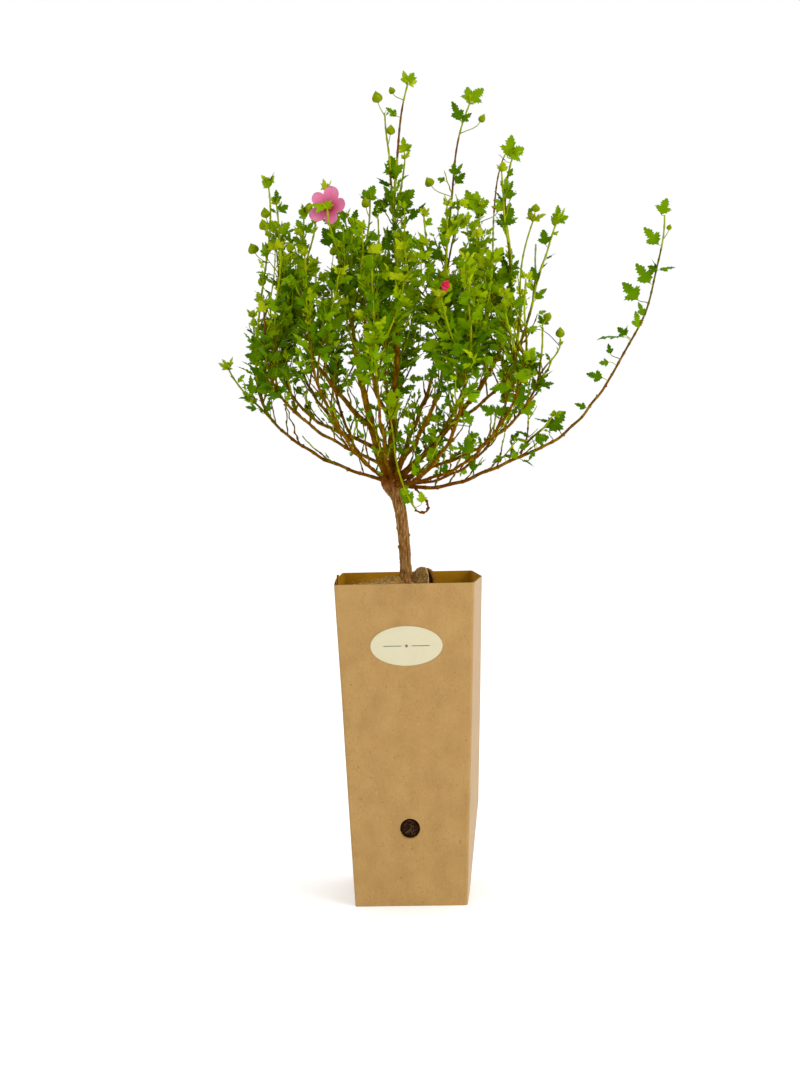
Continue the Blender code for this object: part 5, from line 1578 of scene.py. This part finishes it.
def make_bottom():
    """The closed bottom: two flaps that meet under the root ball."""
    soup = Soup()
    half = panel_half_width(0) - BOARD - 0.1 * MM
    for x0, x1 in ((-half, -0.25 * MM), (0.25 * MM, half)):
        xs = np.linspace(x0, x1, 12)
        ys = np.linspace(-half, half, 24)
        grid = np.array([(x, y, 0.02 * MM) for x in xs for y in ys])
        upper = grid + (0, 0, BOARD - 0.05 * MM)
        faces = grid_faces(12, 24, False)
        soup.add(np.concatenate([grid, upper]), np.concatenate([faces[:, ::-1], faces + len(grid)]))
    floor = soup.build("carton_bottom", KRAFT, smooth=False)
    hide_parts("carton_sleeve")


def flap_outer_x(y, z):
    """The flap's outer face, just inside the carton's left side."""
    crease = SIDE_CREASES[-1][2] * MM
    lean = 1 + y / panel_half_width(SLEEVE_HEIGHT)
    return -(panel_half_width(min(z, SLEEVE_HEIGHT)) + crease * lean - BOARD * 1.06 - GAP)


def make_seam_flap():
    """The glued flap's raised corner over the left rim: two board skins with the dark flutes between."""
    front = -panel_half_width(SLEEVE_HEIGHT) + FOLD_RADIUS + 3 * MM
    back = -2 * MM
    # how far the edge stands over the rim, along y
    profile = ((front, 2.4), (-46 * MM, 5.6), (-42 * MM, 7.0), (-37 * MM, 6.8), (-31 * MM, 4.6),
               (-25 * MM, 1.3), (-19 * MM, 0.5), (back, 0.0))
    ys = np.linspace(front, back, 60)
    tops = SLEEVE_HEIGHT + np.interp(ys, [p[0] for p in profile], [p[1] * MM for p in profile])
    tops += np.array([0.18 * MM * noise_at(y * 900, 0, 0) for y in ys])
    bottom = SLEEVE_HEIGHT - FLAP_DEPTH
    rows = 26
    for name, near, far, skin in (("flap_outer_skin", 0.0, 0.3, KRAFT),
                                  ("flap_inner_skin", FLAP_THICK - 0.3, FLAP_THICK, KRAFT_INSIDE)):
        sheets = []
        for inset in (near, far):
            for share in np.linspace(0, 1, rows):
                heights = bottom + (tops - bottom) * share
                sheets += [(flap_outer_x(y, z) + inset * MM, y, z) for y, z in zip(ys, heights)]
        soup = Soup()
        soup.add(np.array(sheets), two_sheet_faces(rows, len(ys)))
        piece = soup.build(name, skin, smooth=False)
        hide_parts("seam_flap")
    soup = Soup()
    wave = 0.75 + 0.4 * np.sin(np.arange(len(ys)) * 1.45)
    points = []
    for depth in (0.25, 4.0, 9.0):
        points += [(flap_outer_x(y, t) + w * MM, y, t - depth * MM) for y, t, w in zip(ys, tops, wave)]
    soup.add(np.array(points), grid_faces(3, len(ys), False))
    flute = soup.build("flap_fluting", FLUTING)
    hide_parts("seam_flap")


def front_face_y(x, z):
    """The front panel's outer face."""
    half = panel_half_width(z)
    out = 1.0 / math.hypot(x, half) * half
    return -half - panel_bow(x, -half, z) * out


LABEL_WIDTH = 57.8 * MM
LABEL_HEIGHT = 32.0 * MM
LABEL_X = 0.8 * MM
LABEL_Z = 214 * MM
# the rule's two strokes and its diamond: from, to and half height
RULE = ((-19.5, -3.2, 0.34), (3.2, 19.5, 0.34), (-1.5, 1.5, 1.5))


def make_label():
    """The oval paper label, laid on the front panel."""
    rings, steps = 10, 96
    points = []
    for stand, rim_stand in ((0.42, 0.32), (0.12, 0.12)):
        for r in np.linspace(0, 1, rings):
            for k in range(steps):
                a = 2 * math.pi * k / steps
                x = LABEL_X + math.cos(a) * LABEL_WIDTH / 2 * r
                z = LABEL_Z + math.sin(a) * LABEL_HEIGHT / 2 * r
                points.append((x, front_face_y(x, z) - (rim_stand if r > 0.98 else stand) * MM, z))
    faces = grid_faces(rings, steps, True)
    total = rings * steps
    last = total - steps + np.arange(steps)
    after = np.roll(last, -1)
    rim = [np.stack([last, after + total, after], 1), np.stack([last, last + total, after + total], 1)]
    soup = Soup()
    soup.add(np.array(points), np.concatenate([faces, faces[:, ::-1] + total, *rim]))
    label = soup.build("label_oval", PAPER)
    label.data.set_sharp_from_angle(angle=math.radians(50))
    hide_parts("label")


def make_rule():
    """The slim plain rule across the label, with a small diamond."""
    soup = Soup()
    for x0, x1, thick in RULE:
        points = []
        for side in (1, -1):
            for x in np.linspace(x0, x1, 24):
                share = (x - x0) / (x1 - x0)
                if thick > 1:
                    half = thick * (1 - abs(2 * share - 1))
                else:
                    half = thick * min(1, 8 * share, 8 * (1 - share))
                z = LABEL_Z + side * max(0.02, half) * MM
                px = LABEL_X + x * MM
                points.append((px, front_face_y(px, z) - 0.47 * MM, z))
        soup.add(np.array(points), grid_faces(2, 24, False)[:, ::-1])
    rule = soup.build("label_rule_line", INK, smooth=False)
    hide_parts("label")


# ---------------------------------------------------------------- soil, roots and mat

SOIL_LEVEL = 255 * MM
SOIL_STEPS = 90
ROOT_FIBRES = 13


def soil_half_width(z):
    return panel_half_width(z) - BOARD - 0.6 * MM


def soil_height(x, y):
    """Crumbly on top, sunk at the back right and along the rim, and well clear of the mat that hides it."""
    lump = 0.9 * noise_at(x * 160, y * 160, 0) + 0.7 * noise_at(x * 420, y * 420, 3)
    back_right = 5.0 * held((x + y) / (30 * MM))
    rim = 4.0 * held((max(abs(x), y) - 40 * MM) / (6 * MM))
    hidden = 7.0 * held((47 * MM - math.hypot(x, y)) / (5 * MM))
    return SOIL_LEVEL - 0.4 * MM + (lump - max(back_right, rim, hidden)) * MM


def add_soil_side(soup, turn):
    """One side of the block. The front's points lie close together behind the vent."""
    front = turn == 0
    heights = np.linspace(2 * MM, SOIL_LEVEL - 6 * MM, SOIL_STEPS)
    if front:
        heights = np.concatenate([np.linspace(2, 52, 10), np.linspace(53, 77, 64),
                                  np.linspace(80, 254, 16)]) * MM
    columns = 60
    c, s = math.cos(turn * math.pi / 2), math.sin(turn * math.pi / 2)
    points = []
    for z in heights:
        half = soil_half_width(z)
        across = np.linspace(-half, half, columns)
        if front:
            beside, behind = np.linspace(-half, -11 * MM, 6), np.linspace(-10, 10, columns - 12) * MM
            across = np.concatenate([beside, behind, np.linspace(11 * MM, half, 6)])
        for x in across:
            near = 1.0 if front and abs(z - VENT_HEIGHT) < 10.5 * MM and abs(x) < 10 * MM else 0.15
            lump = 1.5 + 1.2 * noise_at(x * 330, z * 330, 5) + 0.7 * noise_at(x * 900, z * 900, 9)
            y = -half + near * max(0.1, lump) * MM
            points.append((c * x - s * y, s * x + c * y, z))
    soup.add(np.array(points), grid_faces(len(heights), columns, False))


def make_soil():
    """The root ball: crumbly on top and behind the vent, plain down the hidden sides."""
    soup = Soup()
    half = soil_half_width(SOIL_LEVEL)
    xs = np.linspace(-half, half, SOIL_STEPS)
    grid = [(x, y, soil_height(x, y)) for x in xs for y in xs]
    soup.add(np.array(grid), grid_faces(SOIL_STEPS, SOIL_STEPS, False)[:, ::-1])
    for turn in range(4):
        add_soil_side(soup, turn)
    piece = soup.build("soil_block", SOIL)
    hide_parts("root_ball")


def make_root_fibres():
    """Fine roots that show behind the vent."""
    random = np.random.default_rng(SEED + 5)
    roots = Soup()
    base = np.array((0, -(panel_half_width(VENT_HEIGHT) - BOARD - 1.4 * MM), 0))
    for _ in range(ROOT_FIBRES):
        a = random.uniform(0, FULL_TURN)
        centre = np.array((0.4 + random.uniform(-6, 6), 0, 64.5 + random.uniform(-6, 6))) * MM
        length = random.uniform(3, 9) * MM
        side = np.array((math.cos(a), 0, math.sin(a))) * length / 2
        bend = np.array((random.uniform(-2, 2), random.uniform(-1.2, 0.2), random.uniform(-2, 2))) * MM
        end = centre + side + base + np.array((0, 0.8 * MM, 0))
        line = bezier(centre - side + base, centre + bend + base, centre - bend + base, end, 8)
        roots.tube(line, np.full(8, random.uniform(0.06, 0.13) * MM), 4)
    fibres = roots.build("root_fibres", ROOT)
    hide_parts("root_ball")


MAT_CENTRE_X = -0.6 * MM
MAT_TOP = ((6.2, 9.6), (8.3, 8.7), (14.5, 6.6), (25.6, 3.8), (47.5, 2.2), (48.5, 1.2))


MAT_FOOT = 255.3
MAT_EDGE = 47.5 * MM
MAT_HOLE = 4.6 * MM
MAT_FIBRES = 3600
SHORTEST_FIBRE = 4


def bulge(azimuth, middle, width):
    """1 towards the middle azimuth, falling off to both sides."""
    return math.exp(-((((azimuth - middle + 180) % 360 - 180) / width) ** 2))


def mat_height(x, y):
    """High where the disc is lapped up against the trunk's left and back, low where it is slit open."""
    r = math.hypot(x - MAT_CENTRE_X, y) / MM
    azimuth = math.degrees(math.atan2(y, x - MAT_CENTRE_X))
    front = bulge(azimuth, -66, 62)
    right = bulge(azimuth, 34, 62) * held((r - 5) / 5)
    left = bulge(azimuth, 176, 46) * math.exp(-(((r - 13) / 9) ** 2))
    height = float(np.interp(r, [p[0] for p in MAT_TOP], [p[1] for p in MAT_TOP]))
    height -= 7.0 * front * min(1.0, 0.45 + r / 16) + 5.6 * right + 1.4 * max(0.0, y / (40 * MM))
    height += 1.6 * left
    rough = 0.5 * noise_at(x * 130, y * 130, 1) + 0.3 * noise_at(x * 420, y * 420, 4)
    return (MAT_FOOT + max(0.4 - 5.2 * right, height + rough)) * MM


def make_mat():
    """The fibre mat: a felted disc, its outermost rings turned down."""
    soup = Soup()
    radii = np.concatenate([np.linspace(5.2, 46, 46), [47.4, 48.2, 48.4, 47.6]]) * MM
    turned_down = [0.0] * (len(radii) - 2) + [0.7, 1.4]
    steps = 150
    points = []
    for r, down in zip(radii, turned_down):
        for k in range(steps):
            a = 2 * math.pi * k / steps
            ragged = 1 + (0.012 * noise_at(math.cos(a) * 9, math.sin(a) * 9, 2) if r > 40 * MM else 0)
            x = MAT_CENTRE_X + math.cos(a) * r * ragged
            y = math.sin(a) * r * ragged
            points.append((x, y, mat_height(x, y) - down * MM))
    soup.add(np.array(points), grid_faces(len(radii), steps, True))
    felt = soup.build("mat_felt", COIR)
    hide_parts("fibre_mat")


def mat_fibre(random, number):
    """A loose fibre's line over the mat, cut short where it would leave the disc. One in 16 stands up."""
    r = math.sqrt(random.uniform(0.02, 1.0)) * 47 * MM
    a = random.uniform(0, 2 * math.pi)
    x = MAT_CENTRE_X + math.cos(a) * r
    y = math.sin(a) * r
    length = random.uniform(4, 13) * MM
    turn = random.uniform(0, 2 * math.pi)
    bend = random.uniform(-1.2, 1.2)
    lift = random.uniform(0.0, 0.7) if number % 16 else random.uniform(1.2, 4.5)
    line = []
    for t in np.linspace(0, 1, 6):
        heading = turn + bend * t
        x += math.cos(heading) * length / 6
        y += math.sin(heading) * length / 6
        if not MAT_HOLE <= math.hypot(x - MAT_CENTRE_X, y) <= MAT_EDGE:
            break
        line.append((x, y, mat_height(x, y) + (0.15 + lift * math.sin(math.pi * (0.15 + 0.75 * t))) * MM))
    return line


def make_mat_fibres():
    random = np.random.default_rng(SEED + 7)
    pale, dark = Soup(), Soup()
    for number in range(MAT_FIBRES):
        line = mat_fibre(random, number)
        if len(line) < SHORTEST_FIBRE:
            continue
        soup = pale if random.random() < 0.55 else dark
        soup.tube(np.array(line), np.full(len(line), random.uniform(0.07, 0.14) * MM), 3)
    for soup, name, skin in ((pale, "mat_fibres_pale", COIR_PALE), (dark, "mat_fibres_dark", COIR_DARK)):
        piece = soup.build(name, skin)
        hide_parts("fibre_mat")


CURL_FOOT = 256.5 * MM
CURL_THICK = 1.1 * MM
CURL_FIBRES = 1300
(CURL_LEFT, CURL_FRONT, _), (CURL_RIGHT, _, CURL_TOP) = [np.array(corner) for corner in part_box("mat_curl")]
CURL_MIDDLE = (CURL_LEFT + CURL_RIGHT) / 2
CURL_HALF = (CURL_RIGHT - CURL_LEFT) / 2


def curl_place(u, v, out, rust):
    """v climbs from the foot to the crest, u runs round from the left flank by the front to the cut edge."""
    height = math.sin(math.pi / 2 * min(1.0, v))
    shrink = max(0.06, math.cos(math.pi / 2 * min(1.0, v))) ** 0.88
    slant = 1.6 * MM * height
    if rust:
        angle = math.radians(200 - 232 * u)
        reach = (CURL_HALF + 0.7 * MM) * shrink + out
        x = CURL_MIDDLE + 1.1 * MM + math.cos(angle) * reach + slant * 0.4
        y = CURL_FRONT + 6.0 * MM + math.sin(angle) * reach * 0.9
        z = CURL_FOOT + (CURL_TOP - CURL_FOOT - 1.7 * MM) * height + 0.5 * out
    else:
        angle = math.radians(150 + 152 * u)
        reach = (CURL_HALF + 1.2 * MM) * shrink + out
        x = CURL_MIDDLE - 1.4 * MM + slant + math.cos(angle) * reach
        y = CURL_FRONT + 5.2 * MM + math.sin(angle) * reach * 0.62
        z = CURL_FOOT + (CURL_TOP - CURL_FOOT - 0.4 * MM) * height + 0.5 * out
    return np.array((x, y, z))


def curl_felt(u, v, out, rust):
    """A place on the curl, roughened like felt."""
    place = curl_place(u, v, out, rust)
    away = unit(place - np.array((CURL_MIDDLE, CURL_FRONT + 5.2 * MM, (CURL_FOOT + CURL_TOP) / 2)))
    return place + away * (0.45 * noise_at(*(place * 330)) + 0.25 * noise_at(*(place * 1000))) * MM


def make_curl():
    """The mat's slit flap, rolled up beside the trunk: grey felt outside, rust inside."""
    rows, steps = 22, 40
    grid = [(u, v) for v in np.linspace(0, 1, rows) for u in np.linspace(0, 1, steps)]
    for rust, name, skin in ((False, "curl_outer_felt", CURL_GREY), (True, "curl_inner_felt", CURL_RUST)):
        outer = [curl_felt(u, v, 0.0, rust) for u, v in grid]
        inner = [curl_place(u, v, -CURL_THICK, rust) for u, v in grid]
        soup = Soup()
        soup.add(np.array(outer + inner), two_sheet_faces(rows, steps))
        piece = soup.build(name, skin)
        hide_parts("mat_curl")


def curl_fibre(random, number, rust):
    """A loose fibre's line over the felt, cut short at the curl's edge. One in eleven stands up."""
    u, v = random.uniform(0.0, 1.0), random.uniform(0.05, 1.0)
    du, dv = random.uniform(-0.16, 0.16), random.uniform(-0.25, 0.25)
    lift = random.uniform(0.05, 0.6) if number % 11 else random.uniform(0.8, 1.9)
    line = []
    for s in np.linspace(0, 1, 5):
        here_u, here_v = u + du * s, v + dv * s
        if not (0 <= here_u <= 1 and 0 <= here_v <= 1):
            break
        line.append(curl_felt(here_u, here_v, (0.05 + lift * math.sin(math.pi * (0.1 + 0.8 * s))) * MM, rust))
    return line


def make_curl_fibres():
    """Loose fibres on both felts, and the pale cut edge."""
    random = np.random.default_rng(SEED + 9)
    pale, dark = Soup(), Soup()
    for number in range(CURL_FIBRES):
        rust = random.random() < 0.4
        line = curl_fibre(random, number, rust)
        if len(line) < SHORTEST_FIBRE:
            continue
        soup = dark if rust or random.random() < 0.6 else pale
        soup.tube(np.array(line), np.full(len(line), random.uniform(0.06, 0.12) * MM), 3)
    steps = 26
    edge = np.array([curl_place(1.0, v, -0.3 * MM, False) for v in np.linspace(0.0, 0.97, steps)])
    edge += np.array([(0.12 * MM * noise_at(9, v * 9, 0), 0, 0) for v in np.linspace(0, 1, steps)])
    pale.tube(edge, np.full(steps, 0.62 * MM), 7)
    for soup, name, skin in ((pale, "curl_fibres_pale", COIR_PALE), (dark, "curl_fibres_dark", COIR_DARK)):
        piece = soup.build(name, skin)
        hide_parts("mat_curl")


# ---------------------------------------------------------------- stage, light and camera

FLOOR_RADIUS = 7


def make_stage():
    """A wide white floor that meets the white surroundings without a line."""
    mesh = bpy.data.meshes.new("studio_floor")
    points = [(FLOOR_RADIUS * math.cos(a), FLOOR_RADIUS * math.sin(a), 0.0) for a in sides_round(96)]
    mesh.from_pydata(points, [], [tuple(range(len(points)))])
    floor = bpy.data.objects.new("studio_floor", mesh)
    skin, shader = new_skin("studio_white")
    feed(shader, {"Base Color": (0.93, 0.93, 0.93, 1), "Roughness": 0.9, "Emission Color": (1, 1, 1, 1),
                  "Emission Strength": 0.14})
    mesh.materials.append(skin)
    bpy.context.scene.collection.objects.link(floor)


def add_light(name, place, target, size, power, colour=(1, 1, 1)):
    light = bpy.data.lights.new(name, "AREA")
    light.shape = "DISK"
    light.size = size
    light.energy = power
    light.color = colour
    obj = bpy.data.objects.new(name, light)
    obj.location = place
    obj.rotation_euler = (Vector(target) - Vector(place)).to_track_quat("-Z", "Y").to_euler()
    bpy.context.scene.collection.objects.link(obj)


def make_light():
    world = bpy.context.scene.world or bpy.data.worlds.new("studio")
    bpy.context.scene.world = world
    world.use_nodes = True
    background = world.node_tree.nodes["Background"]
    feed(background, {"Color": (1, 1, 1, 1), "Strength": 1.0})
    add_light("key", (1.9, -1.7, 1.5), (0.02, 0, 0.4), 1.2, 26, (1.0, 0.98, 0.95))
    add_light("side", (2.6, -0.45, 0.5), (0.03, 0, 0.25), 1.0, 12, (0.96, 1.0, 1.0))
    add_light("fill", (-1.6, -1.9, 0.9), (0, 0, 0.35), 1.6, 7)
    add_light("top", (0.2, 0.5, 2.4), (0, 0, 0.4), 1.6, 7)
    scene = bpy.context.scene
    scene.view_settings.view_transform = "Standard"
    scene.view_settings.look = "None"
    scene.view_settings.exposure = 0.0


SENSOR_HEIGHT = 36.0
FOCAL_PIXELS = 1650
PHOTO_HEIGHT = 1067


def make_camera():
    yaw, pitch, roll = (math.radians(angle) for angle in (1.65, 3.66, 1.24))
    turn = np.array(((math.cos(yaw), -math.sin(yaw), 0), (math.sin(yaw), math.cos(yaw), 0), (0, 0, 1)))
    place = turn @ mm(-4.0, -1365.0, 388.0)
    forward = turn @ np.array((0, math.cos(pitch), -math.sin(pitch)))
    up = turn @ np.array((0, math.sin(pitch), math.cos(pitch)))
    right = turn @ np.array((1.0, 0, 0))
    rolled_right = right * math.cos(roll) - up * math.sin(roll)
    rolled_up = right * math.sin(roll) + up * math.cos(roll)
    data = bpy.data.cameras.new("camera")
    data.sensor_fit = "VERTICAL"
    data.sensor_height = SENSOR_HEIGHT
    data.lens = SENSOR_HEIGHT * FOCAL_PIXELS / PHOTO_HEIGHT
    data.clip_start = 0.05
    data.clip_end = 20
    camera = bpy.data.objects.new("camera", data)
    matrix = Matrix.Identity(4)
    for k, axis in enumerate((rolled_right, rolled_up, -forward)):
        matrix.col[k] = (*axis, 0)
    matrix.col[3] = (*place, 1)
    camera.matrix_world = matrix
    bpy.context.scene.collection.objects.link(camera)
    bpy.context.scene.camera = camera


make_board_skins()
make_fluting()
make_vent_edge()
make_bottom()
make_seam_flap()
make_label()
make_rule()
make_soil()
make_root_fibres()
make_mat()
make_mat_fibres()
make_curl()
make_curl_fibres()
build_plant()
make_stage()
make_light()
make_camera()

bpy.context.view_layer.update()
